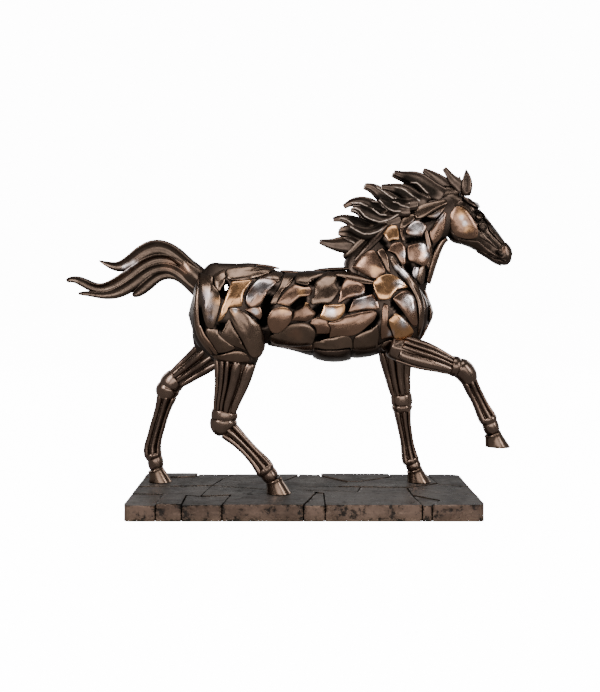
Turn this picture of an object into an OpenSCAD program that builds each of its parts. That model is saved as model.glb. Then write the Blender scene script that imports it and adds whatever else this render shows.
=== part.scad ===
// A prancing horse built from overlapping bronze plates, on a paved base.
// +X is the way the horse faces, +Z is up, and the horse's right side is towards -Y.
// The origin is the middle of the base's underside. Lengths are millimetres, angles degrees.

/* [Base] */
// Length of the paved base
base_l = 290; // [285:1:320]
// Width of the paved base
base_w = 94; // [90:1:110]
// Height of the base from the felt's underside to the paving
base_h = 15; // [14:0.5:20]
// Width of the joints between flagstones
joint_w = 0.9; // [0.6:0.1:1.4]
// Thickness of the felt sheet under the base
felt_t = 1.2; // [0.8:0.1:2]

/* [Plates] */
// Thickness of the body plates
plate_t = 1.3; // [1:0.1:1.4]
// Rise from one layer of body plates to the next
layer_rise = 1.8; // [1.7:0.1:2.2]
// Height of a body plate's middle above its rim
plate_crown = 1; // [0.4:0.1:1.4]
// Clearance left all round a plate of the top layer
plate_gap = 0.25; // [0.2:0.05:0.6]
// How far a plate of the lowest layer reaches under its neighbours
under_lap = 0.9; // [0.2:0.1:1]

/* [Fasteners] */
// Diameter of the screws that hold the hooves
screw_d = 4; // [3:0.5:4]
// Diameter of the armature rods inside the body
rod_d = 5; // [4:0.5:6]

/* [Hidden] */

RIGHT = -1;
LEFT = 1;
paving_z = 15;          // height of the paving in the outlines below
lift = base_h - paving_z;
bronze = [0.36, 0.25, 0.18];
dark_bronze = [0.16, 0.12, 0.1];
light_bronze = [0.62, 0.42, 0.26];
stone_bronze = [0.3, 0.26, 0.23];
steel = [0.7, 0.7, 0.72];
felt_black = [0.06, 0.06, 0.06];
squareness = 0.8;       // below 1 the sections are fuller than an ellipse

// ---- Body plate tables: [layer, side view outline] ----
haunch = [
    [1, [[-88, 200], [-76, 197], [-75, 190], [-70, 185], [-68.5, 176], [-71, 164], [-74, 156], [-78, 155.5],
        [-81, 160], [-84, 173], [-88, 190]]],
    [0, [[-75, 198.5], [-67, 203], [-65, 197], [-67, 191], [-70, 186], [-74, 191]]],
    [1, [[-59, 193], [-50, 194], [-43, 194.5], [-46, 190], [-49, 184], [-50, 178], [-51, 173], [-58, 172],
        [-64, 170], [-66, 163], [-70, 161], [-68, 168], [-64, 180], [-61, 188]]],
    [2, [[-37, 195], [-30, 195.5], [-22, 193], [-25, 189], [-30, 184], [-33, 178], [-37, 173], [-45, 172],
        [-48, 175], [-48, 181], [-45, 188], [-41, 193]]]];
croup = [
    [1, [[-65, 202], [-60, 205], [-50, 206], [-40, 206], [-28, 205], [-25, 204], [-30, 201], [-38, 197.5],
        [-45, 195.5], [-55, 194.5], [-62, 196]]],
    [0, [[-38, 197], [-27, 203], [-19, 203], [-19.5, 198], [-22, 195], [-30, 196]]]];
thigh = [
    [0, [[-45, 171], [-37, 172.5], [-35, 166], [-37, 162], [-42, 166.5], [-46, 169.5]]],
    [2, [[-61, 169], [-60, 171.5], [-56, 172], [-50, 169], [-44, 164], [-37, 159], [-34.5, 155], [-34, 147],
        [-33.5, 139], [-37, 131], [-40, 129.5], [-44, 131], [-47, 136], [-50, 143], [-54, 151], [-58, 158]]],
    [1, [[-61, 163], [-58, 157], [-54, 150], [-50, 142], [-47.5, 136.5], [-53, 139], [-60, 142], [-68, 149],
        [-65, 155]]],
    [0, [[-80, 154], [-71, 153.5], [-70, 150], [-65, 146], [-60, 142], [-57, 139], [-60, 135], [-65, 134],
        [-72, 133], [-76, 136], [-80, 142], [-82, 148]]],
    [1, [[-58, 136], [-53, 136], [-48.5, 134.3], [-45, 129.8], [-46, 126.5], [-54, 126], [-66, 127],
        [-74, 128.5], [-75, 132], [-66, 133.5]]]];
flank = [
    [0, [[-16, 203], [-4, 202.5], [-8.5, 197], [-12.5, 191], [-17, 187], [-22, 177.5],
        [-23, 175.5], [-27, 176], [-25, 182], [-22, 187], [-18, 196]]],
    [2, [[-28, 168], [-25, 171], [-20, 172.5], [-14, 172], [-10, 169], [-9.5, 165], [-11, 160], [-17, 153.5],
        [-22, 151], [-27, 152], [-30, 158], [-30, 164]]],
    [0, [[-8, 169], [-2, 172], [1, 176], [4, 175], [5, 172], [9, 168], [8, 165], [4, 162], [0, 160.5],
        [-6, 161], [-10.5, 161], [-9, 165]]],
    [1, [[-21, 151], [-14, 156.5], [-5, 159], [1, 158.5], [6, 156], [9.5, 152], [9, 147], [7, 141], [-8, 139],
        [-26, 141], [-28, 148]]]];
rib = [
    [1, [[-6, 199], [-3, 202], [5, 203], [15, 202], [20, 201], [17, 199], [12, 196.5], [6, 194], [4, 191],
        [0, 191], [-6, 192.5], [-7, 195]]],
    [0, [[-9, 191], [-5, 191.5], [0, 190], [4, 190], [6, 187], [5, 184], [2, 182], [-3, 181.5], [-7, 178],
        [-12, 173.5], [-18, 175], [-21, 176], [-19, 180], [-15, 185]]],
    [2, [[17, 199.5], [22, 201], [27, 199], [28, 195], [27, 190], [29.5, 186], [28, 182], [22, 175],
        [15, 175],
        [10, 174], [6, 174], [5, 176], [8, 180], [9, 186], [9, 191], [13, 195]]],
    [1, [[36, 197], [43, 194], [48, 192], [50.5, 189], [50, 184], [46, 182], [42, 181], [36, 179.5],
        [31, 176.5], [28.5, 176.5], [30, 181], [30.5, 187], [33, 192]]],
    [1, [[17, 174.5], [28, 174], [33, 175], [34, 171], [32, 166], [29, 163], [25, 161.5], [20, 161.5],
        [14, 163.5], [14, 166], [16, 170]]],
    [0, [[42, 179], [50, 181], [57, 183], [60, 178], [62, 172], [59, 170], [50, 170], [42, 168.5], [38, 169],
        [40, 174]]],
    [0, [[5, 158.8], [10, 162.5], [13, 163], [20, 161], [20, 158], [22, 155], [21, 150.5], [14, 150],
        [10, 150], [10, 154], [7, 157]]]];
belly = [
    [1, [[20, 159], [30, 162], [34, 165], [40, 166], [50, 168.5], [58, 169], [60, 167], [58, 162], [54, 158],
        [45, 150.5], [38, 148.5], [30, 148.5], [22, 147], [22, 150], [23, 155]]],
    [0, [[9, 142], [14, 142.5], [19, 144.5], [25, 146], [32, 148], [36, 147.5], [39.5, 143], [39.5, 135],
        [24, 134], [9, 134.5]]],
    [0, [[42.6, 144], [45, 147.5], [50, 150.5], [57, 153.5], [60.5, 157], [62, 150], [62, 140], [58, 136],
        [42.6, 135]]],
    [0, [[-28, 139], [-8, 138], [6, 139.5], [6, 134], [-6, 134], [-20, 137]]]];
shoulder = [
    [1, [[41, 205.5], [44, 210], [50, 216.5], [56, 219.5], [60, 218.5], [63, 213], [66, 207], [68.5, 201],
        [62, 197], [58, 196.5], [50, 200.5], [45, 203.5]]],
    [0, [[61.5, 219], [66, 221], [68.5, 218], [70.5, 213], [71.5, 206], [72.5, 201.5], [70, 202], [67, 208],
        [64, 214]]],
    [2, [[57, 191], [61, 196], [67, 199], [73, 199.5], [78, 197.5], [83, 193.5], [87, 189], [78, 186],
        [73, 181], [70, 178], [62, 178], [59, 184]]],
    [1, [[74, 179], [78, 182.5], [83, 185.5], [87.5, 186], [91, 182], [93.8, 175], [94.8, 163], [95, 157],
        [91, 157],
        [86, 163], [81, 170]]],
    [2, [[70, 160], [71, 163], [75, 167], [79, 166], [85, 161], [90, 156], [92, 152], [90, 148], [85, 146],
        [77, 146], [74, 150]]],
    [0, [[67, 174], [70, 172], [70, 164], [69, 157], [72, 153], [74, 148], [73, 146], [68, 145.5],
        [65.5, 145], [64.5, 149], [64.5, 156], [65, 166]]],
    [0, [[66, 138], [70, 142], [76, 143], [84, 143], [93, 143], [96, 141], [92, 138], [80, 135], [70, 134]]]];
neck_plates = [
    [1, [[95, 257], [105, 260.5], [115, 262.5], [121, 263], [122, 260], [117, 257], [110, 253], [101, 247.5],
        [95, 248]]],
    [0, [[84, 249], [91, 252], [94.5, 250], [93, 246], [89, 242.5], [85, 240], [82, 242]]],
    [1, [[81.5, 240], [84.5, 238.5], [84, 232], [85.5, 228], [83, 228], [81.5, 234]]],
    [2, [[75, 241], [71, 238], [67.5, 233], [70, 229], [72, 226], [76, 227.5], [80.5, 228], [81, 234],
        [79.5, 240]]],
    [2, [[95, 244.5], [99, 244], [104, 241], [103.5, 238], [101, 234], [99, 231.5], [93, 231.5], [88, 232.5],
        [86, 235], [88, 239], [92, 243]]],
    [0, [[105, 249.5], [112, 253], [119, 256.5], [117, 252], [113, 248], [108, 248]]],
    [1, [[107, 235], [110, 240], [114, 246], [119, 252], [121, 251], [120, 240], [118, 234], [115, 229],
        [110.5, 226], [108.5, 229]]],
    [1, [[71, 219], [73, 223], [77, 226], [82, 226], [85, 223], [85.5, 213], [85, 208.5], [82, 207],
        [79, 212],
        [76, 216]]],
    [2, [[87, 223], [92, 225], [98, 226.5], [102, 226], [105, 220], [106, 214], [103, 208], [99, 206.5],
        [94, 208.5], [90, 209.5], [87, 212]]],
    [1, [[93, 206], [97, 205.5], [96.5, 201], [94, 196], [91, 198]]],
    [0, [[97.5, 204.5], [101, 206], [103.5, 206], [104, 200], [103, 193], [100, 191], [96, 195]]]];
// Long strips: [layer, [x, z, half width] path in the side view].
buttock_strips = [
    [0, [[-90, 189, 1.2], [-90.5, 178, 2.1], [-90.5, 164, 2.4], [-88.5, 152, 2.5], [-84.5, 143.5, 2.3],
        [-80.5, 137, 1.9], [-77.5, 132, 1.1]]],
    [1, [[-85.5, 157, 0.9], [-83, 150, 1.4], [-79, 143.7, 1.7], [-75, 137.7, 1.6], [-72, 133, 1]]]];
withers_strips = [
    [0, [[14, 203.5, 0.8], [24, 202.8, 1.9], [34, 201.3, 2.8], [44, 198, 3.2], [53, 195, 2.4],
        [60, 193.6, 0.9]]]];
breast_strips = [
    [1, [[73.5, 214, 1.2], [76.5, 207.5, 2.6], [82, 201.5, 3.2], [88.5, 195, 3.4], [93.5, 188, 3.4],
        [97.3, 179, 3], [98.8, 168, 2.5], [98.6, 157, 2.4], [98, 147, 1.3]]],
    [0, [[97.5, 187, 1.2], [101.8, 179, 2], [103.7, 170, 2], [103.7, 162, 1.9], [102.8, 154, 1.8],
        [101, 147, 1.1]]]];
nape_strips = [
    [0, [[42, 212, 1.2], [50, 220.5, 2.8], [58, 228.5, 3.4], [66, 237, 3.4], [74, 246, 3], [83, 254, 2.4],
        [92, 259, 1.2]]]];
throat_strips = [
    [0, [[104, 237, 1.6], [105.8, 230, 2.3], [108, 222, 2.6], [108.6, 213, 2.6], [107, 204, 2]]],
    [1, [[124, 229.5, 1.4], [119.5, 226.5, 2.4], [115.5, 219, 3], [112, 209, 3.4], [109, 200, 3.2],
        [106.5, 192, 2.2]]]];
// Plates across the spine, the belly and the breast: [layer, [distance, angle] outline].
back = [
    [0, [[-92, 40], [-82, 60], [-76, 70], [-75, 90], [-76, 110], [-82, 120], [-92, 140], [-94, 90]]],
    [1, [[-74, 72], [-58, 77], [-40, 79], [-24, 80], [-21, 90], [-24, 100], [-40, 101], [-58, 103],
        [-74, 108], [-77, 90]]],
    [0, [[-19, 76], [-8, 76], [6, 77], [8, 90], [6, 103], [-8, 104], [-19, 104], [-18, 90]]],
    [1, [[10, 77], [22, 77], [34, 76], [42, 77], [44, 90], [42, 103], [34, 104], [22, 103], [10, 103],
        [9, 90]]]];
keel = [
    [0, [[-28, -74], [-8, -66], [6, -57], [8, -90], [6, -123], [-8, -114], [-28, -106], [-30, -90]]],
    [1, [[9.5, -51], [24, -47], [39, -46.5], [41, -90], [39, -133.5], [24, -133], [9.5, -129], [8.5, -90]]],
    [0, [[42, -50.5], [56, -53.5], [66, -48], [68, -90], [66, -132], [56, -126.5], [42, -129.5],
        [42, -90]]]];
breast_table = [
    [0, [[4, 66], [10, 60], [16, 66], [17, 90], [16, 114], [10, 120], [4, 114], [2, 90]]],
    [1, [[19, 62], [26, 58], [32, 62], [33, 90], [32, 118], [26, 122], [19, 118], [18, 90]]],
    [0, [[35, 62], [42, 58], [48, 64], [50, 90], [48, 116], [42, 122], [35, 118], [34, 90]]]];

// ---- Head tables ----
cheeks = [
    [1, [[130, 257], [136, 255], [141, 250], [145, 244], [148, 238], [148, 232], [143, 230.5], [137, 231],
        [131, 233], [127, 238], [125.5, 245], [125, 251]]]];
brow = [
    [2, [[136, 266], [141, 263], [146, 260.5], [151, 260], [152, 257.5], [148, 256], [144, 257.5],
        [139, 261]]],
    [1, [[150, 243], [154, 244], [157, 241], [156, 237], [152, 236], [149.5, 239]]],
    [0, [[134, 263], [139, 260], [143, 256], [146.5, 250], [145.5, 246.5], [141.5, 251.5], [137, 256],
        [131, 259]]],
    [0, [[152, 256], [157, 252], [163, 245], [170, 236], [175, 228], [173, 227.5], [167, 234], [160, 243],
        [154, 250]]],
    [1, [[158, 242], [163, 239], [169, 232], [173, 226], [171, 224.5], [166, 230], [160, 236]]],
    [0, [[151, 234], [157, 235], [163, 230], [168, 224.5], [168, 222], [163, 223.5], [157, 228], [151, 231]]],
    [0, [[132, 230], [140, 229], [148, 228.5], [153, 225], [160, 220], [166, 215], [164, 212.5], [156, 217],
        [149, 221], [141, 225], [134, 227.5]]]];
muzzle = [
    [2, [[169, 223], [173.5, 226], [177.5, 222.5], [179, 217.5], [177.5, 212.5], [173.5, 211], [169.5, 213.5],
        [167, 218.5]]]];
// The lower lip goes round under the chin: [distance, angle] on the head.
lower_lip = [[37, -58], [47, -56], [56, -58], [59.5, -90], [56, -122], [47, -124], [37, -122], [35, -90]];

// ---- Hair: [x, z, half width] from the root to the tip ----
lock_by_ear = [[137, 272, 3.5], [133, 277, 3.6], [128, 281, 3.2], [124.5, 286, 2], [121, 290.5, 0.3]];
lock_poll = [[130, 269, 5], [124, 274.5, 5], [118, 279.5, 4.8], [112, 284, 3.8], [108, 287.5, 2.4],
    [104, 290, 0.3]];
lock_high = [[119, 267, 5.5], [112, 271, 5.5], [105, 276, 5.5], [98, 281, 4.8], [91, 283.5, 3.6],
    [84, 285, 2.4],
    [78, 287, 0.3]];
lock_short = [[112, 264, 5], [105, 268, 5], [98, 273.5, 4.2], [91, 276, 3], [85, 276, 0.4]];
lock_flame = [[104, 260, 5], [97, 263, 5], [90, 268, 4.8], [83, 272, 3.8], [75, 273.5, 2.6],
    [67, 274.5, 0.3]];
lock_rising = [[84, 257, 4.5], [77, 262, 4.8], [70, 267, 4.5], [64, 271.5, 3.5], [58, 275, 2.3],
    [53, 276, 0.3]];
lock_small = [[96, 260, 4], [90, 259, 3.8], [84, 260, 3], [77, 262.5, 0.3]];
lock_inner = [[90, 255, 4.5], [84, 254.5, 4.2], [77, 256, 3.8], [71, 260, 2.4], [65, 263, 0.3]];
lock_middle = [[76, 248, 4.5], [69, 250.5, 4.5], [61, 256.5, 5], [53, 261, 4.2], [45, 262, 3.2],
    [39, 260.5, 2],
    [35, 258, 0.3]];
lock_curl = [[82, 247, 4], [75, 245, 4.2], [66, 245.5, 4.5], [58, 249.5, 4.2], [51, 254, 3.2], [46, 256, 1.8],
    [42, 256.5, 0.3]];
lock_low = [[60, 238, 4.5], [53, 239.5, 4.8], [46, 243, 4.5], [39, 246.5, 3.5], [32, 248, 2.3],
    [26, 247, 0.3]];
lock_wave = [[72, 240, 4], [65, 237, 4.2], [57, 234.5, 4.2], [48, 235.5, 3.6], [40, 239, 2.4],
    [32, 238, 0.3]];
lock_slim = [[56, 231, 3.5], [48, 231.5, 3.4], [40, 234.5, 2.4], [30.5, 235, 0.3]];
lock_withers = [[52, 222, 5.5], [46, 223.5, 6], [39, 225.5, 6], [31, 225.5, 5], [23, 226, 3.2],
    [14.5, 228, 0.3]];
crest = [[36, 215, 3], [47, 223.5, 6.5], [58, 233.5, 9], [68, 244, 9.5], [80, 253.5, 9.5], [94, 261.5, 9],
    [110, 267.5, 8], [124, 270.5, 6.5], [134, 270, 4]];
dock = [[-80, 188, 5], [-86, 192.5, 8.5], [-92, 197.5, 9.8], [-99, 203, 9.8], [-105, 208, 8.8],
    [-110, 211.5, 6.5]];
tail_upper = [[-92, 201.5, 5], [-103, 210.5, 6.4], [-112, 218, 6.8], [-121, 222, 7.2], [-129, 222, 7.6],
    [-138, 218.2, 7.2], [-147, 211.6, 6.6], [-157, 206.8, 5], [-166, 207.3, 3.4], [-175.5, 211.3, 0.8]];
tail_middle = [[-92, 195, 5], [-104, 204.5, 6], [-113, 210.5, 5.8], [-123, 212.5, 5.8], [-133, 210, 6],
    [-143, 203.5, 6.4], [-153, 196, 6.6], [-164, 189.8, 6.2], [-175, 187.2, 5], [-185, 189.8, 4.4],
    [-194, 194.3, 3.8], [-201, 195.4, 2.7], [-204.5, 194, 1.5]];
tail_lower = [[-92, 188, 5], [-105, 199, 5.2], [-114, 204.3, 5], [-124, 205, 5], [-134, 201, 5.4],
    [-144, 193.5, 5.6], [-154, 187, 5.6], [-165, 182.6, 4.4], [-176, 182, 3.2], [-186, 183.2, 2.4],
    [-193.5, 183.2, 1.3]];
tail_under = [[-90, 182, 4.5], [-98, 190.5, 5], [-107, 197.3, 4.6], [-116, 199.8, 4.4], [-125, 198, 4.6],
    [-132.5, 192.5, 5], [-139, 187, 4.6], [-144, 183.4, 3.6], [-147.5, 181.6, 1.8]];

// ---- Limbs: [x, z, half width in the side view, y, half thickness] from the body down ----
right_gaskin = [[-57, 127, 19, -15, 15], [-58.5, 119, 16.5, -15, 13.5], [-60, 110, 14.8, -15, 12],
    [-62.5, 100, 12.5, -15, 10.5], [-65, 91, 10.8, -15, 9], [-66.2, 84, 9.8, -15, 8]];
right_hock = [[-66.3, 84.6, 9.4, -15, 8], [-66.7, 83.4, 11, -15, 9], [-67, 78.8, 11.4, -15, 9.2],
    [-67, 77.6, 10.2, -15, 8.2], [-67.2, 76.4, 11.4, -15, 9], [-67.8, 72.5, 11.6, -15, 8.8],
    [-67.4, 68.5, 9.6, -15, 7.8], [-66, 65.4, 6, -15, 5.5]];
right_hind_bone = [[-63.5, 68, 8.6, -15, 7.5], [-55, 60.3, 6.9, -15, 6], [-47, 52, 6.3, -15, 5.3],
    [-40, 44.5, 6.7, -15, 5.5], [-35, 38.5, 7.8, -15, 6.3], [-32, 34, 7.8, -15, 6.8]];
right_hind_ankle = [[-34, 37, 7, -15, 6.2], [-32, 34.4, 8.2, -15, 7.2], [-30.4, 32.4, 6.8, -15, 6.2],
    [-29.4, 31, 7.3, -15, 6.7], [-26, 26.5, 6, -15, 6]];
left_gaskin = [[-79, 133, 16.5, 18, 14], [-88.5, 125.5, 13.5, 19, 13], [-94.5, 120.8, 12.5, 20, 12],
    [-100.5, 116.5, 11.3, 21, 10.8], [-107, 111.5, 10.3, 21, 9.6], [-113, 106.8, 9.3, 21, 8.4]];
left_hock = [[-112.5, 107.3, 8.8, 21, 8], [-114.2, 106.3, 10.2, 21, 8.8], [-118.6, 102, 10.8, 21, 9.2],
    [-119.8, 100, 9.6, 21, 8.2], [-120.6, 98.4, 10.8, 21, 9], [-121.8, 94.5, 10.6, 21, 8.6],
    [-122.2, 91.5, 9, 21, 8], [-122.6, 89, 7, 21, 6.5]];
left_hind_bone = [[-122, 91.5, 9, 21, 7.6], [-125, 82, 7.2, 21, 6.2], [-128, 72, 6.8, 21, 5.6],
    [-131, 62, 6.8, 21, 5.6], [-133.3, 53, 6.8, 21, 5.8], [-135, 45, 7.6, 21, 6.4],
        [-134.5, 38, 7.4, 21, 6.8]];
left_hind_ankle = [[-134.6, 41, 7, 21, 6.4], [-134, 38, 7.8, 21, 7.2], [-133, 35.6, 6.6, 21, 6.2],
    [-132.4, 34, 7.1, 21, 6.7], [-131.5, 26.5, 6.2, 21, 6]];
right_forearm = [[82, 137, 12, -16, 11.5], [94, 133, 12.2, -16, 11], [104, 130, 11.3, -16, 10.3],
    [114, 126.5, 9.5, -16, 9], [124.5, 122.3, 7.6, -16, 7.8]];
right_knee = [[124, 122.6, 7.2, -16, 7.4], [125.2, 122.4, 8.6, -16, 8.6], [129, 121.6, 8.8, -16, 8.8],
    [130.2, 121.2, 7.7, -16, 7.8], [131.4, 120.8, 8.9, -16, 8.6], [135, 118.4, 9.2, -16, 8.6],
    [137.8, 114.4, 8.6, -16, 8.2], [139.4, 110.6, 7.4, -16, 7.2], [140.4, 108, 5.6, -16, 5.6]];
right_fore_bone = [[139.5, 110, 6.5, -16, 6.6], [143, 102, 6.2, -16, 5.6], [147, 94.5, 6, -16, 5.2],
    [150.5, 87, 6.4, -16, 5.4], [153.8, 80.8, 7.3, -16, 6.3], [155.5, 77, 7, -16, 6.4]];
right_fore_ankle = [[154.6, 80, 6.6, -16, 6.2], [155.8, 77, 7.6, -16, 7], [156.8, 74.6, 6.4, -16, 6],
    [157.4, 73, 6.9, -16, 6.6], [159.2, 66.5, 6, -16, 5.9]];
left_forearm = [[82, 132, 15, 18, 12], [82.8, 124, 13.8, 19, 11.5], [83.5, 116, 12, 20, 10.4],
    [84.5, 108, 10.5, 20, 9.2], [85.7, 100, 9.5, 20, 8.3], [87.2, 92.5, 8.4, 20, 7.6]];
left_knee = [[87.2, 93.4, 8.2, 20, 7.4], [87.5, 92.2, 9.4, 20, 8.6], [88, 89, 9.6, 20, 8.8],
    [88.3, 84.6, 9.4, 20, 8.6], [88.4, 83.4, 8.4, 20, 7.6], [88.4, 82.2, 9.4, 20, 8.4],
    [88.5, 79.4, 8.6, 20, 7.8], [88.8, 77, 6.6, 20, 6.4]];
left_fore_bone = [[88.6, 79, 7.8, 20, 7], [89.5, 70, 6.6, 20, 5.8], [91, 61, 6, 20, 5.3],
    [92.7, 51, 5.7, 20, 5.2], [94, 43, 6.4, 20, 5.6], [95.5, 36, 7.3, 20, 6.4], [96.5, 32.5, 7, 20, 6.5]];
left_fore_ankle = [[95.4, 36.6, 6.8, 20, 6.2], [96.4, 34, 7.6, 20, 7], [97.4, 32, 6.5, 20, 6.2],
    [98, 30.6, 6.9, 20, 6.5], [100, 26.5, 6, 20, 6]];

// ---- Paving: [height above the paving's level, plan outline] ----
rear_stones = [
    [0.8, [[-145, 47], [-97, 47], [-99, 36], [-105, 34], [-145, 33]]],
    [-0.5, [[-97, 47], [-62, 47], [-72, 31], [-99, 36]]],
    [-0.3, [[-62, 47], [-4, 47], [-4, 43], [-16, 26], [-33, 13], [-54, 20], [-72, 31]]],
    [-0.6, [[-4, 47], [16, 47], [17, 40], [40, 20], [30, 6], [-14, 4], [-33, 13], [-16, 26], [-4, 43]]],
    [0.3, [[16, 47], [80, 47], [81, 36], [51, 20], [40, 20], [17, 40]]],
    [-0.4, [[80, 47], [116, 47], [117, 33], [81, 36]]],
    [-0.6, [[116, 47], [145, 47], [145, 4], [121, 13], [119, 16], [117, 33]]]];
middle_stones = [
    [0, [[-145, 33], [-105, 34], [-99, 36], [-72, 31], [-80, 8], [-145, 5]]],
    [0, [[-72, 31], [-54, 20], [-33, 13], [-14, 4], [-20, -8], [-80, 8]]],
    [-0.4, [[-14, 4], [30, 6], [50, 4], [46, -10], [0, -4], [-20, -8]]],
    [0, [[30, 6], [40, 20], [51, 20], [81, 36], [117, 33], [119, 16], [90, 2], [50, 4]]],
    [-0.6, [[119, 16], [121, 13], [145, 4], [145, -18], [112, -12], [90, 2]]]];
front_stones = [
    [-0.4, [[-145, 5], [-80, 8], [-86, -23], [-98, -20], [-118, -17], [-145, -15]]],
    [-0.8, [[-145, -15], [-118, -17], [-119, -47], [-145, -47]]],
    [0.4, [[-118, -17], [-98, -20], [-98, -47], [-119, -47]]],
    [-0.5, [[-98, -20], [-86, -23], [-61, -20], [-66, -47], [-98, -47]]],
    [0, [[-80, 8], [-20, -8], [0, -4], [11, -11], [-1, -47], [-66, -47], [-61, -20], [-86, -23]]],
    [-0.8, [[11, -11], [17, -14], [17, -47], [-1, -47]]],
    [-0.3, [[11, -11], [0, -4], [46, -10], [50, 4], [90, 2], [91, -20], [95, -47], [17, -47], [17, -14]]],
    [-0.8, [[91, -20], [111, -34], [101, -47], [95, -47]]],
    [-0.2, [[90, 2], [112, -12], [145, -18], [145, -47], [101, -47], [111, -34], [91, -20]]]];
// Where each standing hoof meets the paving: [heel x, y].
right_hind_heel = [-31, -15];
left_hind_heel = [-138, 21];
left_fore_heel = [93.5, 20];
screw_spots = [for (h = [right_hind_heel, left_hind_heel, left_fore_heel]) [h[0] + 9, h[1]]];

// ---- Forms: smooth bodies that carry the plates ----
// [origin x, origin z, angle of the axis, stations].
// A station is [distance along the axis, centre offset, half depth, half width, offset from the middle].
torso = [0, 165, 0, [[-98, 0, 5, 8, 0], [-94, 1, 20, 16, 0], [-88, 4, 29, 22, 0], [-78, 6, 33, 27, 0],
    [-62, 7.5, 35.5, 30, 0], [-46, 8, 36, 31, 0], [-28, 6.8, 35.2, 29.5, 0], [-12, 4, 35, 29, 0],
    [6, 0.5, 38, 30, 0], [24, -0.4, 40.3, 31, 0], [42, 0.6, 40.3, 30.5, 0], [60, 2, 39, 29, 0],
    [78, 3.5, 35.5, 27, 0], [92, 4, 30, 24, 0], [102, 3.5, 22.5, 19, 0], [108, 2, 14, 13, 0],
        [111, 1.5, 5.5, 7, 0]]];
neck = [72, 192, 46.5, [[-14, -3, 45, 20, 0], [0, -1.2, 44.7, 22, 0], [20, 6.5, 37.5, 20.5, 0],
    [40, 10.5, 30.5, 17, 0], [60, 11.5, 24, 14, 0], [80, 5.2, 21.2, 12.5, 0], [90, 2.5, 17, 11, 0],
    [97, 1, 11, 8, 0]]];
right_thigh = [-64, 205, -90, [[-2, 4, 24, 8, 14], [10, 1, 30, 15, 15], [25, 0, 32.5, 19, 15.5],
    [40, -0.5, 33, 20, 15.5], [55, 0, 32.5, 19.5, 15], [65, 1.5, 30, 17.5, 15], [75, 6, 23, 14.5, 15],
    [81, 8, 19, 12, 15]]];
left_thigh = [-64, 205, -90, [[-2, 4, 24, 8, 14], [10, 0.5, 30, 15, 15], [25, -1, 32.5, 19, 15.5],
    [40, -3, 33, 20, 15.5], [55, -5, 32.5, 19.5, 15.5], [65, -7, 29, 17.5, 16], [75, -9, 25, 14.5, 17],
    [81, -11, 22, 12, 17]]];
breast = [88, 192, -90, [[0, 0, 16, 16, 0], [12, 0, 21, 21, 0], [27, 0, 22.8, 23, 0], [37, 0, 21, 22, 0],
    [47, 0, 15.5, 19, 0], [54, 0, 9, 14, 0]]];
head = [131, 252, -39.1, [[-19, 5, 3.5, 4, 0], [-14, 4.5, 9, 7.5, 0], [-8, 4, 11.5, 9, 0],
    [-3, 2.8, 14.5, 10.5, 0], [4, 1.2, 18.2, 11.5, 0],
    [14, -2.2, 18.8, 11.5, 0], [24, -0.6, 14.9, 9.5, 0], [34, -0.6, 12.7, 7.5, 0], [44, -0.8, 10.4, 6.5, 0],
    [53, -1.6, 9.2, 6.4, 0], [60, -2.2, 6.6, 4.8, 0], [63, -2.6, 3.4, 2.6, 0]]];
body_lift = -1.7;       // outer face of the lowest layer of body plates, from the form

function station(form, t, i) = lookup(t, [for (s = form[3]) [s[0], s[i]]]);
function fuller(c) = sign(c) * pow(abs(c), squareness);
// Point at distance t along a form and angle a round it, h above its surface.
function on_form(form, side, t, a, h) =
    let (s = station(form, t, 1) + (station(form, t, 2) + h) * sin(a),
         y = station(form, t, 4) + (station(form, t, 3) + h) * fuller(cos(a)))
    [form[0] + t * cos(form[2]) - s * sin(form[2]), side * y, form[1] + t * sin(form[2]) + s * cos(form[2])];
// The same point's place on the form, from its place in the side view.
function side_view_to_form(form, p) =
    let (x = p[0] - form[0], z = p[1] - form[1],
         t = x * cos(form[2]) + z * sin(form[2]),
         s = z * cos(form[2]) - x * sin(form[2]))
    [t, asin(max(-0.995, min(0.995, (s - station(form, t, 1)) / station(form, t, 2))))];

function total(v, i = 0) = i >= len(v) ? 0 * v[0] : v[i] + (i + 1 < len(v) ? total(v, i + 1) : 0 * v[0]);
function middle(v) = total(v) / len(v);
function turn_sign(v) = sign(total([for (i = [0:len(v) - 1])
    let (p = v[i], q = v[(i + 1) % len(v)]) p[0] * q[1] - q[0] * p[1]]));
function reversed_if(yes, faces) = yes ? [for (f = faces) [for (i = [len(f) - 1:-1:0]) f[i]]] : faces;

// Point on the outermost of some forms, from its place in the side view. Each entry of forms is a pair:
// the form that the place is measured on, and the form that it is put on.
function within(form, p) = let (t = (p[0] - form[0]) * cos(form[2]) + (p[1] - form[1]) * sin(form[2]),
        s = (p[1] - form[1]) * cos(form[2]) - (p[0] - form[0]) * sin(form[2]))
    abs(s - station(form, t, 1)) < 0.99 * station(form, t, 2);
function over(forms, side, p, h) =
    let (inside = [for (f = forms) if (within(f[0], p)) f],
         tried = len(inside) > 0 ? inside : [forms[0]],
         found = [for (f = tried) let (q = side_view_to_form(f[0], p)) on_form(f[1], side, q[0], q[1], h)],
         far = max([for (v = found) side * v[1]]))
    [for (v = found) if (side * v[1] == far) v][0];
// A place is in the side view, over a list of forms, or is [distance, angle] on a single form.
function spot(forms, side, p, h) =
    is_num(forms[0]) ? on_form(forms, side, p[0], p[1], h) : over(forms, side, p, h);

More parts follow.
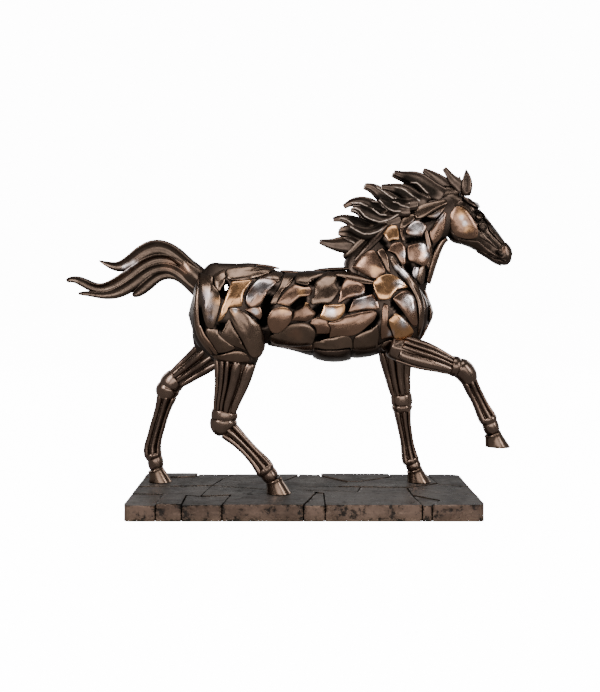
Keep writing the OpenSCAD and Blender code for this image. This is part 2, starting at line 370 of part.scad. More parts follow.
// A crowned plate over some forms, from its outline, which is grown by grow all round. Its outer face is
// h above the forms.
module plate(forms, side, outline, h, thick, crown, grow) {
    n = len(outline);
    c = middle(outline);
    size = middle([for (p = outline) norm([p[0] - c[0], (p[1] - c[1]) * (is_num(forms[0]) ? 0.6 : 1)])]);
    rim = 1 + grow / size;
    mid = rim * 0.7;
    function ring(k, hh) = [for (p = outline) spot(forms, side, c + (p - c) * k, hh)];
    points = concat([spot(forms, side, c, h + crown)], ring(mid, h + 0.75 * crown), ring(rim, h),
        ring(rim, h - thick), ring(mid, h - thick + 0.75 * crown), [spot(forms, side, c, h - thick + crown)]);
    faces = [for (i = [0:n - 1]) let (j = (i + 1) % n)
        each [[0, 1 + i, 1 + j],
            [1 + i, n + 1 + i, n + 1 + j], [1 + i, n + 1 + j, 1 + j],
            [n + 1 + i, 2 * n + 1 + i, 2 * n + 1 + j], [n + 1 + i, 2 * n + 1 + j, n + 1 + j],
            [2 * n + 1 + i, 3 * n + 1 + i, 3 * n + 1 + j], [2 * n + 1 + i, 3 * n + 1 + j, 2 * n + 1 + j],
            [3 * n + 1 + i, 4 * n + 1, 3 * n + 1 + j]]];
    polyhedron(points, reversed_if(turn_sign(outline) * side < 0, faces), convexity = 4);
}

// A long crowned strip over some forms; the path is [x, z, half width] in the side view.
strip_section = [[-1, 0, 0], [-0.5, 0.75, 0], [0, 1, 0], [0.5, 0.75, 0], [1, 0, 0], [1, 0, 1], [0, 1, 1],
    [-1, 0, 1]];
module strip(forms, side, path, h, thick, crown) {
    n = len(strip_section);
    m = len(path);
    function section(i) = let (s = path[i], d = direction(path, i), q = crown * s[2] / 3)
        [for (p = strip_section) over(forms, side, [s[0] - p[0] * s[2] * d[1], s[1] + p[0] * s[2] * d[0]],
            h + q * p[1] - thick * p[2])];
    points = concat([for (i = [0:m - 1]) each section(i)], [middle(section(0)), middle(section(m - 1))]);
    polyhedron(points, reversed_if(side > 0, tube_faces(n, m)), convexity = 4);
}

// The solid inside a form, inset from its surface, with n corners round it.
module form_solid(form, side, inset, n) {
    stations = form[3];
    m = len(stations);
    points = concat([for (s = stations, j = [0:n - 1]) on_form(form, side, s[0], j * 360 / n, -inset)],
        [for (s = [stations[0], stations[m - 1]])
            let (p = on_form(form, side, s[0], 90, 0), q = on_form(form, side, s[0], -90, 0)) (p + q) / 2]);
    polyhedron(points, reversed_if(side > 0, tube_faces(n, m)), convexity = 4);
}

torso_only = [[torso, torso]];
shoulder_forms = [[torso, torso], [neck, neck]];
neck_forms = [[neck, neck], [torso, torso]];
head_only = [[head, head]];
body_forms = [[torso, RIGHT], [neck, RIGHT], [right_thigh, RIGHT], [left_thigh, LEFT], [breast, RIGHT]];
lining_depth = 3.2;     // from the forms to the lining's outer face
lining_t = 1.6;
daylight_d = 6;         // opening right through the rump
right_haunch_forms = [[right_thigh, right_thigh], [torso, torso]];
left_haunch_forms = [[right_thigh, left_thigh], [torso, torso]];

// Plates and strips from a table of [layer, outline or path].
module plates(forms, side, table) {
    for (p = table) plate(forms, side, p[1], body_lift + p[0] * layer_rise, plate_t, plate_crown,
        under_lap - (under_lap + plate_gap) * p[0] / 2);
}
module strips(forms, side, table) {
    for (p = table) strip(forms, side, p[1], body_lift + p[0] * layer_rise, plate_t, plate_crown);
}
module head_plates(side, table) {
    for (p = table) plate(head_only, side, p[1], 0.1 + p[0] * 0.7, 0.8, 0.5, 0.2);
}

// ---- Sweeps: tapering bodies along a path in the side view ----
// A station is [x, z, half width in the side view, y, half thickness].
oval = [for (i = [0:7]) [cos(i * 45), sin(i * 45)]];
lock_spread = 1.4;      // fullness of the mane's locks in the side view
tip_w = 2.2;            // half width of a lock's blunt tip
// Hair has a raised ridge along its upper edge and a hollow below it, on both faces.
hair = [[1, 0], [0.55, 0.62], [-0.25, 0.5], [-0.8, 1], [-1, 0], [-0.8, -1], [-0.25, -0.5], [0.55, -0.62]];

function direction(p, i) =
    let (a = p[max(i - 1, 0)], b = p[min(i + 1, len(p) - 1)], d = [b[0] - a[0], b[1] - a[1]]) d / norm(d);
module sweep(path, profile) {
    n = len(profile);
    m = len(path);
    points = concat([for (i = [0:m - 1]) let (s = path[i], d = direction(path, i))
            each [for (q = profile)
                [s[0] - q[0] * s[2] * d[1], s[3] + q[1] * s[4], s[1] + q[0] * s[2] * d[0]]]],
        [[path[0][0], path[0][3], path[0][1]], [path[m - 1][0], path[m - 1][3], path[m - 1][1]]]);
    polyhedron(points, tube_faces(n, m), convexity = 4);
}
function tube_faces(n, m) = concat(
    [for (i = [0:m - 2], j = [0:n - 1]) let (k = (j + 1) % n)
        each [[i * n + j, i * n + k, (i + 1) * n + k], [i * n + j, (i + 1) * n + k, (i + 1) * n + j]]],
    [for (j = [0:n - 1]) let (k = (j + 1) % n)
        each [[m * n, k, j], [m * n + 1, (m - 1) * n + j, (m - 1) * n + k]]]);
function at_y(path, y, thick) = [for (s = path) [s[0], s[1], s[2], y, thick * (0.35 + 0.65 * s[2] / 5)]];

core_depth = 0.76;      // of a limb's core, as a share of the limb's half thickness
// A strip of muscle that lies along a limb, f across its width from -1 to 1, w of its half width wide.
module muscle(limb, f, w, face) {
    m = len(limb);
    round = sqrt(1 - f * f);
    sweep([for (i = [0:m - 1])
        let (s = limb[i], d = direction(limb, i), end = (i == 0 || i == m - 1) ? 0.72 : 1)
        [s[0] - f * s[2] * d[1], s[1] + f * s[2] * d[0], w * s[2] * end,
            s[3] + face * 0.64 * s[4] * round, 0.36 * s[4] * round * end]], oval);
}
module limb_muscles(limb, strips, root) {
    sweep(concat([root], [for (s = limb) [s[0], s[1], 0.92 * s[2], s[3], core_depth * s[4]]]), oval);
    for (s = strips, face = [-1, 1]) muscle(limb, s[0], s[1], face);
}
// A cord of bone or tendon the full depth of the limb.
module full_strip(limb, f, w, deep) {
    sweep([for (i = [0:len(limb) - 1]) let (s = limb[i], d = direction(limb, i))
        [s[0] - f * s[2] * d[1], s[1] + f * s[2] * d[0], w * s[2], s[3], deep * s[4]]], oval);
}
module cannon(limb) {
    full_strip(limb, 0, 0.9, 0.56);
    full_strip(limb, 0.71, 0.25, 0.68);
    full_strip(limb, 0.12, 0.35, 1);
    full_strip(limb, -0.6, 0.36, 0.78);
}

// A hoof from its heel's x, with a coronet band; drilled for its screw if it stands on the base.
module hoof(heel, y, z, drilled) {
    n = 12;
    // each ring: heel x offset, toe x offset, half width, height at the heel, height at the toe
    rings = [[0, 20.5, 7.6, 0, 0], [-0.2, 19.6, 7.8, 1.5, 1.5], [-0.3, 16.4, 7.1, 4.5, 6.5],
        [-0.4, 13, 6.5, 7, 11.5], [-0.9, 12.8, 6.9, 8.2, 12.9], [0, 11.6, 6.2, 9.4, 14]];
    m = len(rings);
    points = concat([for (r = rings, j = [0:n - 1]) let (c = cos(j * 30))
            [heel + (r[0] + r[1]) / 2 + (r[1] - r[0]) / 2 * c,
                y + r[2] * sin(j * 30) * (c < 0 ? 0.92 : 1), z + r[3] + (r[4] - r[3]) * (1 + c) / 2]],
        [[heel + 10, y, z], [heel + 5.8, y, z + 11.7]]);
    sides = [for (i = [0:m - 2], j = [0:n - 1]) let (k = (j + 1) % n)
        each [[i * n + j, (i + 1) * n + k, i * n + k], [i * n + j, (i + 1) * n + j, (i + 1) * n + k]]];
    ends = [for (j = [0:n - 1]) let (k = (j + 1) % n)
        each [[m * n, j, k], [m * n + 1, (m - 1) * n + k, (m - 1) * n + j]]];
    difference() {
        polyhedron(points, concat(sides, ends), convexity = 4);
        if (drilled) translate([heel + 9, y, z - 1]) cylinder(d = screw_d + 0.1, h = 8, $fn = 32);
    }
}

// ---- Base ----
module base_outline(inset) {
    offset(r = 5 - inset / 2) offset(delta = -5 - inset / 2) square([base_l, base_w], center = true);
}
module at_screws() {
    for (p = screw_spots) translate([p[0], p[1], 0]) children();
}
module core_solid() {
    translate([0, 0, felt_t]) linear_extrude(base_h - 3.2 - felt_t) base_outline(2.4);
}
module base_core() {
    color(dark_bronze) difference() {
        core_solid();
        at_screws() cylinder(d = screw_d + 0.3, h = base_h, $fn = 32);
        at_screws() cylinder(d = 8.4, h = felt_t + 3, $fn = 32);
    }
}
module felt_sheet() {
    color(felt_black) linear_extrude(felt_t) base_outline(5);
}
module hoof_screws() {
    color(steel) at_screws() {
        translate([0, 0, felt_t + 0.2]) cylinder(d = 8, h = 2.8, $fn = 32);
        translate([0, 0, felt_t + 0.2]) cylinder(d = screw_d, h = base_h + 5 - felt_t, $fn = 32);
    }
}
// Flagstones wrap over the core's edge; the outline's ends are stretched to the base's own size.
module flagstones(table) {
    color(stone_bronze) difference() {
        for (s = table) translate([0, 0, felt_t]) linear_extrude(base_h + s[0] - felt_t) intersection() {
            base_outline(0);
            offset(delta = -joint_w / 2) polygon([for (p = s[1]) [
                abs(p[0]) == 145 ? sign(p[0]) * (base_l / 2 + 2) : p[0],
                abs(p[1]) == 47 ? sign(p[1]) * (base_w / 2 + 2) : p[1]]]);
        }
        core_solid();
        at_screws() cylinder(d = screw_d + 0.3, h = 2 * base_h, $fn = 32);
    }
}
module flagstones_rear() { flagstones(rear_stones); }
module flagstones_middle() { flagstones(middle_stones); }
module flagstones_front() { flagstones(front_stones); }

// ---- Body ----
module raised() { translate([0, 0, lift]) children(); }
// A round rod between two points in the plane of symmetry.
module rod(a, b) {
    d = b - a;
    translate([a[0], 0, a[1]]) rotate([0, atan2(d[0], d[1]), 0]) cylinder(d = rod_d, h = norm(d), $fn = 24);
}
module armature() {
    color(dark_bronze) raised() {
        rod([-92, 184], [78, 176]);
        rod([78, 176], [122, 244]);
        for (x = [-64, 78]) translate([x, 0, x < 0 ? 182.7 : 176]) rotate([90, 0, 0])
            cylinder(d = rod_d, h = 32, center = true, $fn = 24);
    }
}
// The part of a form between two of its stations' numbers.
function inner_form(form, first, last) =
    [form[0], form[1], form[2], [for (i = [first:last]) form[3][i]]];
// One thin shell under all the body plates. It shows dark wherever they leave an opening.
module body_lining() {
    color(dark_bronze) raised() difference() {
        for (f = body_forms) form_solid(f[0], f[1], lining_depth, 10);
        for (f = body_forms)
            form_solid(inner_form(f[0], 1, len(f[0][3]) - 2), f[1], lining_depth + lining_t, 10);
        translate([-67.3, 0, 188.5]) rotate([90, 0, 5.6])
            cylinder(d = daylight_d, h = 120, center = true, $fn = 24);
    }
}
module back_plates() { color(bronze) raised() plates(torso, RIGHT, back); }
module belly_keel() { color(dark_bronze) raised() plates(torso, RIGHT, keel); }
module breast_plates() { color(bronze) raised() plates(breast, RIGHT, breast_table); }
module right_haunch_plates() {
    color(bronze) raised() {
        plates(right_haunch_forms, RIGHT, concat(haunch, croup));
        strips(right_haunch_forms, RIGHT, buttock_strips);
    }
}
module right_thigh_plates() { color(bronze) raised() plates(right_haunch_forms, RIGHT, thigh); }
module right_flank_plates() { color(bronze) raised() plates(torso_only, RIGHT, flank); }
module right_rib_plates() { color(bronze) raised() plates(torso_only, RIGHT, rib); }
module right_belly_plates() { color(bronze) raised() plates(torso_only, RIGHT, belly); }
module right_shoulder_plates() {
    color(light_bronze) raised() {
        plates(shoulder_forms, RIGHT, shoulder);
        strips(shoulder_forms, RIGHT, concat(withers_strips, breast_strips));
    }
}
module right_neck_plates() {
    color(bronze) raised() {
        plates(neck_forms, RIGHT, neck_plates);
        strips(neck_forms, RIGHT, concat(nape_strips, throat_strips));
    }
}
module left_haunch_plates() {
    color(bronze) raised() {
        plates(left_haunch_forms, LEFT, concat([haunch[0], haunch[2], haunch[3]], croup));
        strips(left_haunch_forms, LEFT, buttock_strips);
    }
}
module left_thigh_plates() { color(bronze) raised() plates(left_haunch_forms, LEFT, thigh); }
module left_flank_plates() { color(bronze) raised() plates(torso_only, LEFT, flank); }
module left_rib_plates() { color(bronze) raised() plates(torso_only, LEFT, rib); }
module left_belly_plates() { color(bronze) raised() plates(torso_only, LEFT, belly); }
module left_shoulder_plates() {
    color(light_bronze) raised() {
        plates(shoulder_forms, LEFT, shoulder);
        strips(shoulder_forms, LEFT, concat(withers_strips, breast_strips));
    }
}
module left_neck_plates() {
    color(bronze) raised() {
        plates(neck_forms, LEFT, neck_plates);
        strips(neck_forms, LEFT, concat(nape_strips, throat_strips));
    }
}

// ---- Head ----
eye_x = 149.5;
eye_z = 249;
eye_y = 6.6;
eye_r = 3.9;
module skull() {
    color(dark_bronze) raised() difference() {
        form_solid(head, LEFT, 0.5, 16);
        for (side = [RIGHT, LEFT]) translate([eye_x, side * eye_y, eye_z]) sphere(r = eye_r + 0.1, $fn = 20);
    }
}
module both_sides(table) {
    for (side = [RIGHT, LEFT]) head_plates(side, table);
}
module cheek_plates() { color(light_bronze) raised() both_sides(cheeks); }
module face_strips() { color(bronze) raised() both_sides(brow); }
module muzzle_plates() {
    color(bronze) raised() {
        both_sides(muzzle);
        plate(head, RIGHT, lower_lip, 0.8, 0.8, 0.4, 0);
    }
}
module ears() {
    color(bronze) raised() {
        sweep([[139.5, 267.5, 3.6, -6, 2.8], [139.6, 273, 5, -7, 2.6], [139.8, 279, 4.6, -7.5, 2.1],
            [139.5, 284.5, 2.8, -8, 1.4], [139, 289, 0.6, -8, 0.5]], oval);
        sweep([[137.5, 267.5, 3, 6, 2.6], [136.5, 273, 4, 7, 2.4], [136.5, 278.5, 3.4, 7.5, 2],
            [137, 283, 1.8, 8, 1.2], [137.2, 286, 0.4, 8, 0.4]], oval);
    }
}
module eyes() {
    color(light_bronze) raised() for (side = [RIGHT, LEFT])
        translate([eye_x, side * eye_y, eye_z]) sphere(r = eye_r, $fn = 20);
}

// ---- Mane and tail ----
module locks(table) {
    for (k = table) sweep(
        [for (s = at_y(k[0], k[1], k[2])) [s[0], s[1], max(tip_w, lock_spread * s[2]), s[3], s[4]]], hair);
}
module mane_crest() { color(dark_bronze) raised() sweep(at_y(crest, 0, 5.5), oval); }
module mane_locks_right() {
    color(dark_bronze) raised() locks([[lock_by_ear, -5, 3], [lock_high, -6, 3.4], [lock_flame, -9, 3.2],
        [lock_small, -12, 3], [lock_inner, -12, 3], [lock_rising, -5, 3.2], [lock_curl, -10, 3.2],
        [lock_wave, -10, 3.2]]);
}
module mane_locks_middle() {
    color(dark_bronze) raised() locks([[lock_poll, 0, 3.4], [lock_short, -1, 3.2], [lock_middle, -3, 3.4],
        [lock_low, -3, 3.4], [lock_slim, -5, 3], [lock_withers, -2, 3.8]]);
}
module mane_locks_left() {
    color(dark_bronze) raised() locks([[lock_high, 6, 3.4], [lock_flame, 9, 3.2], [lock_small, 12, 3],
        [lock_inner, 12, 3], [lock_rising, 5, 3.2], [lock_curl, 10, 3.2], [lock_wave, 10, 3.2]]);
}
module tail_dock() { color(dark_bronze) raised() sweep(at_y(dock, 0, 6), oval); }
module tail_lock_upper() { color(bronze) raised() sweep(at_y(tail_upper, -1, 7), hair); }
module tail_lock_middle() { color(bronze) raised() sweep(at_y(tail_middle, 1, 7.5), hair); }
module tail_lock_lower() { color(bronze) raised() sweep(at_y(tail_lower, -1, 7), hair); }
module tail_lock_under() { color(bronze) raised() sweep(at_y(tail_under, 1, 6.5), hair); }

// ---- Legs ----
module right_hind_gaskin() {
    color(bronze) raised() limb_muscles(right_gaskin,
        [[-0.84, 0.13], [-0.57, 0.12], [-0.31, 0.12], [0.1, 0.27], [0.68, 0.29]], [-55, 134, 15, -15, 8]);
}
module right_hind_hock() { color(bronze) raised() sweep(right_hock, oval); }
module right_hind_cannon() { color(bronze) raised() cannon(right_hind_bone); }
module right_hind_pastern() { color(bronze) raised() sweep(right_hind_ankle, oval); }
module right_hind_hoof() {
    color(light_bronze) raised() hoof(right_hind_heel[0], right_hind_heel[1], paving_z, true);
}
module left_hind_gaskin() {
    color(bronze) raised() limb_muscles(left_gaskin,
        [[-0.78, 0.2], [-0.3, 0.24], [0.22, 0.24], [0.74, 0.24]], [-72, 138, 14, 17, 8]);
}
module left_hind_hock() { color(bronze) raised() sweep(left_hock, oval); }
module left_hind_cannon() { color(bronze) raised() cannon(left_hind_bone); }
module left_hind_pastern() { color(bronze) raised() sweep(left_hind_ankle, oval); }
module left_hind_hoof() {
    color(light_bronze) raised() hoof(left_hind_heel[0], left_hind_heel[1], paving_z, true);
}
module right_fore_forearm() {
    color(bronze) raised() limb_muscles(right_forearm,
        [[0.84, 0.15], [0.52, 0.16], [0.18, 0.17], [-0.38, 0.4], [-0.86, 0.1]],
        [74, 140, 10, -16, 8]);
}
module right_fore_knee() { color(bronze) raised() sweep(right_knee, oval); }
module right_fore_cannon() { color(bronze) raised() cannon(right_fore_bone); }
module right_fore_pastern() { color(bronze) raised() sweep(right_fore_ankle, oval); }
module right_fore_hoof() { color(light_bronze) raised() hoof(153.5, -16, 54.3, false); }
module left_fore_forearm() {
    color(bronze) raised() limb_muscles(left_forearm,
        [[-0.78, 0.2], [-0.36, 0.2], [0.12, 0.26], [0.7, 0.28]], [81, 138, 12, 17, 8]);
}
module left_fore_knee() { color(bronze) raised() sweep(left_knee, oval); }
module left_fore_cannon() { color(bronze) raised() cannon(left_fore_bone); }
module left_fore_pastern() { color(bronze) raised() sweep(left_fore_ankle, oval); }
module left_fore_hoof() {
    color(light_bronze) raised() hoof(left_fore_heel[0], left_fore_heel[1], paving_z, true);
}

base_core();
felt_sheet();
hoof_screws();
flagstones_rear();
flagstones_middle();
flagstones_front();
armature();
body_lining();
back_plates();
belly_keel();
breast_plates();
right_haunch_plates();
right_thigh_plates();
right_flank_plates();
right_rib_plates();
right_belly_plates();
right_shoulder_plates();
right_neck_plates();
left_haunch_plates();
left_thigh_plates();
left_flank_plates();
left_rib_plates();
left_belly_plates();
left_shoulder_plates();
left_neck_plates();
skull();
cheek_plates();
face_strips();
muzzle_plates();
ears();
eyes();
mane_crest();
mane_locks_right();
mane_locks_middle();
mane_locks_left();
tail_dock();
tail_lock_upper();
tail_lock_middle();
tail_lock_lower();
tail_lock_under();
right_hind_gaskin();
right_hind_hock();
right_hind_cannon();
right_hind_pastern();
right_hind_hoof();
left_hind_gaskin();
left_hind_hock();
left_hind_cannon();
left_hind_pastern();
left_hind_hoof();
right_fore_forearm();
right_fore_knee();
right_fore_cannon();
right_fore_pastern();
right_fore_hoof();
left_fore_forearm();
left_fore_knee();
left_fore_cannon();
left_fore_pastern();
left_fore_hoof();
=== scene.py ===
import math

import bmesh
import bpy
import numpy as np
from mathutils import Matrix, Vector, noise
from mathutils.kdtree import KDTree


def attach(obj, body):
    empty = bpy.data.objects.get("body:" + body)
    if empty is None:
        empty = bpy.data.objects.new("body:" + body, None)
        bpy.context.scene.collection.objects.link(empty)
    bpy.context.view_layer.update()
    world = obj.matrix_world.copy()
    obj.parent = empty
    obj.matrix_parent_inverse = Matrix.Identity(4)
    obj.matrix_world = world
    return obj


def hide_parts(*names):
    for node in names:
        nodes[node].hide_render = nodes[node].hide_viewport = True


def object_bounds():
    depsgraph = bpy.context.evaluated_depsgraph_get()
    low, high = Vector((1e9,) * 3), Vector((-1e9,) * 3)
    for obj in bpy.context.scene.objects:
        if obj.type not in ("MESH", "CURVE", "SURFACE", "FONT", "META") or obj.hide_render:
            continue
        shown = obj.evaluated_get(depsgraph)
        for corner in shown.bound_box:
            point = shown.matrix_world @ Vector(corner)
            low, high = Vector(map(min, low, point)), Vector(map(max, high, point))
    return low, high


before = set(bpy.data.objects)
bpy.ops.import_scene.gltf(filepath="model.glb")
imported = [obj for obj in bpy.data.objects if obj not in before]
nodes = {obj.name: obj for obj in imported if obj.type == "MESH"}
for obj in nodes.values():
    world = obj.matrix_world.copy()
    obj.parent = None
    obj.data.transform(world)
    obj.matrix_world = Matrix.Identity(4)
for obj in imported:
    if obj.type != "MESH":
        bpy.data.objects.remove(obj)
cad_low, cad_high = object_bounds()
MM = 0.001


# ---- Patina materials ----
def colour(rgb):
    """An opaque colour for a shader socket."""
    return (*rgb, 1.0)


class Shader:
    """A node tree with short names for the nodes that the patinas use."""

    def __init__(self, name):
        self.material = bpy.data.materials.new(name)
        self.material.use_nodes = True
        self.tree = self.material.node_tree
        self.tree.nodes.clear()
        self.output = self.tree.nodes.new("ShaderNodeOutputMaterial")
        self.surface = self.tree.nodes.new("ShaderNodeBsdfPrincipled")
        self.link(self.surface.outputs["BSDF"], self.output.inputs["Surface"])

    def link(self, a, b):
        self.tree.links.new(a, b)

    def put(self, socket, value):
        """Sets a socket to a plain value, or links it if the value is another node's output."""
        if isinstance(value, bpy.types.NodeSocket):
            self.link(value, socket)
        else:
            socket.default_value = value

    def coordinates(self, scale):
        source = self.tree.nodes.new("ShaderNodeTexCoord")
        mapping = self.tree.nodes.new("ShaderNodeMapping")
        mapping.inputs["Scale"].default_value = scale
        self.link(source.outputs["Object"], mapping.inputs["Vector"])
        return mapping.outputs["Vector"]

    def noise(self, scale, detail=4.0, roughness=0.55, stretch=(1.0, 1.0, 1.0), distortion=0.0):
        node = self.tree.nodes.new("ShaderNodeTexNoise")
        self.put(node.inputs["Vector"], self.coordinates(stretch))
        node.inputs["Scale"].default_value = scale
        node.inputs["Detail"].default_value = detail
        node.inputs["Roughness"].default_value = roughness
        node.inputs["Distortion"].default_value = distortion
        return node.outputs["Fac"]

    def attribute(self, name):
        node = self.tree.nodes.new("ShaderNodeAttribute")
        node.attribute_name = name
        return node.outputs["Fac"]

    def attribute_colour(self, name):
        node = self.tree.nodes.new("ShaderNodeAttribute")
        node.attribute_name = name
        return node.outputs["Color"]

    def math(self, operation, a, b, clamp=False):
        node = self.tree.nodes.new("ShaderNodeMath")
        node.operation = operation
        node.use_clamp = clamp
        for socket, value in zip(node.inputs, (a, b)):
            self.put(socket, value)
        return node.outputs["Value"]

    def remap(self, value, low, high, to_low=0.0, to_high=1.0):
        """Eases a value from the low..high range into the to_low..to_high range."""
        node = self.tree.nodes.new("ShaderNodeMapRange")
        node.interpolation_type = "SMOOTHSTEP"
        self.put(node.inputs["Value"], value)
        node.inputs["From Min"].default_value = low
        node.inputs["From Max"].default_value = high
        node.inputs["To Min"].default_value = to_low
        node.inputs["To Max"].default_value = to_high
        return node.outputs["Result"]

    def mix(self, factor, a, b, blend="MIX"):
        node = self.tree.nodes.new("ShaderNodeMix")
        node.data_type = "RGBA"
        node.blend_type = blend
        self.put(node.inputs["Factor"], factor)
        self.put(node.inputs["A"], a)
        self.put(node.inputs["B"], b)
        return node.outputs["Result"]

    def bump(self, height, strength, distance):
        node = self.tree.nodes.new("ShaderNodeBump")
        node.inputs["Strength"].default_value = strength
        node.inputs["Distance"].default_value = distance
        self.put(node.inputs["Height"], height)
        return node.outputs["Normal"]

    def cavity(self, distance):
        """0 in a crevice narrower than the distance, 1 in the open."""
        node = self.tree.nodes.new("ShaderNodeAmbientOcclusion")
        node.samples = 8
        node.inputs["Distance"].default_value = distance
        return node.outputs["AO"]


# Near-black: real soot in the grime and specks, and painted shade in crevices, grooves and the paving's
# cracks.
SOOT_AND_SHADE = colour((0.010, 0.008, 0.0065))
BLACK = colour((0.003, 0.0028, 0.0025))
DARKER = colour((0.45, 0.42, 0.4))
PALER = colour((1.4, 1.35, 1.3))
MOTTLE = 0.4


def bronze_patina(name, rubbed, gloss, stretch=(1.0, 1.0, 1.0), scale=1.0, worn_from=0.4, crevice=2.4):
    """Metal in each piece's own tint, with painted shade in its crevices and inner side, rubbed bright along
    its rims.

    The tint, wear, inside and painted shade masks come from the mesh. The crevice's width is in millimetres.
    """
    s = Shader(name)
    tint = s.attribute_colour("tint")
    wear = s.attribute("wear")
    inside = s.attribute("inside")
    painted_shade = s.attribute("painted_shade")
    blotches = s.noise(42.0 * scale, 4.0, 0.55, stretch)
    fine = s.noise(420.0 * scale, 4.0, 0.62, stretch)
    grime = s.noise(130.0 * scale, 5.0, 0.62, stretch, 0.4)
    specks = s.remap(s.noise(620.0 * scale, 2.0, 0.5), 0.7, 0.78)
    open_air = s.remap(s.cavity(crevice * MM), 0.25, 0.8)
    shade = s.mix(s.remap(blotches, 0.3, 0.7), DARKER, PALER)
    base = s.mix(MOTTLE, tint, s.mix(1.0, tint, shade, "MULTIPLY"))
    base = s.mix(s.remap(grime, 0.52, 0.78, 0.0, 0.4), base, SOOT_AND_SHADE)
    base = s.mix(s.math("MULTIPLY", specks, 0.6), base, SOOT_AND_SHADE)
    rim = s.math("MULTIPLY", s.remap(wear, worn_from, worn_from + 0.5), s.remap(fine, 0.35, 0.6, 0.3, 0.8))
    base = s.mix(rim, base, rubbed)
    # Painted shade: dark in narrow crevices and in the painted shade mask, and black on the inner side.
    base = s.mix(open_air, SOOT_AND_SHADE, base)
    base = s.mix(painted_shade, base, SOOT_AND_SHADE)
    base = s.mix(inside, base, BLACK)
    s.put(s.surface.inputs["Base Color"], base)
    hidden = s.math("MAXIMUM", inside, s.math("MULTIPLY", painted_shade, 0.6))
    s.surface.inputs["Metallic"].default_value = 1.0
    rough = s.math("ADD", s.remap(grime, 0.3, 0.7, gloss - 0.05, gloss + 0.1),
                   s.remap(fine, 0.3, 0.7, -0.03, 0.04))
    rough = s.math("ADD", rough, s.math("MULTIPLY", s.math("SUBTRACT", 1.0, open_air), 0.2))
    rough = s.math("ADD", rough, s.math("MULTIPLY", hidden, 0.5), clamp=True)
    s.put(s.surface.inputs["Roughness"], rough)
    height = s.math("ADD", s.math("MULTIPLY", blotches, 0.7), s.math("MULTIPLY", grime, 0.12))
    height = s.math("SUBTRACT", height, s.math("MULTIPLY", specks, 0.05))
    s.put(s.surface.inputs["Normal"], s.bump(height, 0.3, 1.0 * MM))
    return s.material


plate_metal = bronze_patina("plate_patina", colour((0.45, 0.32, 0.25)), 0.2, worn_from=0.5)
limb_metal = bronze_patina("limb_patina", colour((0.24, 0.165, 0.125)), 0.22, (1.0, 1.0, 0.35),
                           worn_from=0.55, crevice=0.9)
hair_metal = bronze_patina("hair_patina", colour((0.55, 0.43, 0.36)), 0.26, worn_from=0.4)
dark_metal = bronze_patina("dark_patina", colour((0.12, 0.085, 0.065)), 0.36)
head_metal = bronze_patina("head_patina", colour((0.2, 0.14, 0.105)), 0.24, scale=1.6)


def paving_patina():
    """Slate-brown glossy paving with pits, a browner pitted edge, a coppery rubbed rim and painted shade in
    its cracks.
    """
    s = Shader("paving_patina")
    wear = s.attribute("wear")
    side = s.attribute("side")
    rough_spot = s.attribute("rough")
    blotches = s.noise(30.0, 6.0, 0.6)
    layers = s.noise(60.0, 6.0, 0.7, (1.0, 2.2, 1.0), 0.6)
    fine = s.noise(420.0, 5.0, 0.65)
    pits = s.remap(s.noise(240.0, 4.0, 0.7), 0.34, 0.44, 1.0, 0.0)
    coarse_pits = s.remap(s.noise(120.0, 5.0, 0.75), 0.38, 0.47, 1.0, 0.0)
    top = s.mix(s.remap(blotches, 0.3, 0.7), colour((0.05, 0.043, 0.039)), colour((0.13, 0.114, 0.104)))
    front = s.mix(s.remap(blotches, 0.3, 0.7), colour((0.06, 0.037, 0.026)), colour((0.15, 0.097, 0.07)))
    base = s.mix(side, top, front)
    pitted = s.math("MULTIPLY", coarse_pits, s.math("MAXIMUM", side, rough_spot))
    pit_soot = s.math("MAXIMUM", s.math("MULTIPLY", pits, 0.45), s.math("MULTIPLY", pitted, 0.9))
    base = s.mix(pit_soot, base, SOOT_AND_SHADE)
    rim = s.math("MULTIPLY", s.remap(wear, 0.3, 0.9), s.remap(layers, 0.4, 0.62, 0.05, 1.0))
    base = s.mix(rim, base, colour((0.36, 0.215, 0.13)))
    # Painted shade in the cracks between the stones and other narrow crevices.
    base = s.mix(s.remap(s.cavity(3 * MM), 0.3, 0.9), SOOT_AND_SHADE, base)
    s.put(s.surface.inputs["Base Color"], base)
    s.surface.inputs["Metallic"].default_value = 0.5
    s.surface.inputs["Specular IOR Level"].default_value = 0.3
    gloss = s.remap(layers, 0.3, 0.7, 0.22, 0.55)
    s.put(s.surface.inputs["Roughness"], s.math("ADD", gloss, s.math("MULTIPLY", pitted, 0.25), clamp=True))
    height = s.math("ADD", s.math("MULTIPLY", layers, 0.8), s.math("MULTIPLY", fine, 0.12))
    height = s.math("SUBTRACT", height, s.math("MULTIPLY", pits, 0.12))
    height = s.math("SUBTRACT", height, s.math("MULTIPLY", pitted, 0.4))
    s.put(s.surface.inputs["Normal"], s.bump(height, 0.6, 1.2 * MM))
    return s.material


paving_metal = paving_patina()


def plain_material(name, rgb, metallic, roughness, grain):
    """A lightly speckled material for a piece that is hidden in use."""
    s = Shader(name)
    speckle = s.noise(grain, 3.0)
    s.put(s.surface.inputs["Base Color"],
          s.mix(speckle, colour([c * 0.6 for c in rgb]), colour([min(1.0, c * 1.4) for c in rgb])))
    s.surface.inputs["Metallic"].default_value = metallic
    s.put(s.surface.inputs["Roughness"], s.remap(speckle, 0.3, 0.7, roughness - 0.08, roughness + 0.08))
    s.put(s.surface.inputs["Normal"], s.bump(speckle, 0.4, 0.2 * MM))
    return s.material


felt = plain_material("felt", (0.02, 0.02, 0.02), 0.0, 0.9, 900.0)
steel = plain_material("zinc_steel", (0.55, 0.55, 0.57), 1.0, 0.35, 250.0)


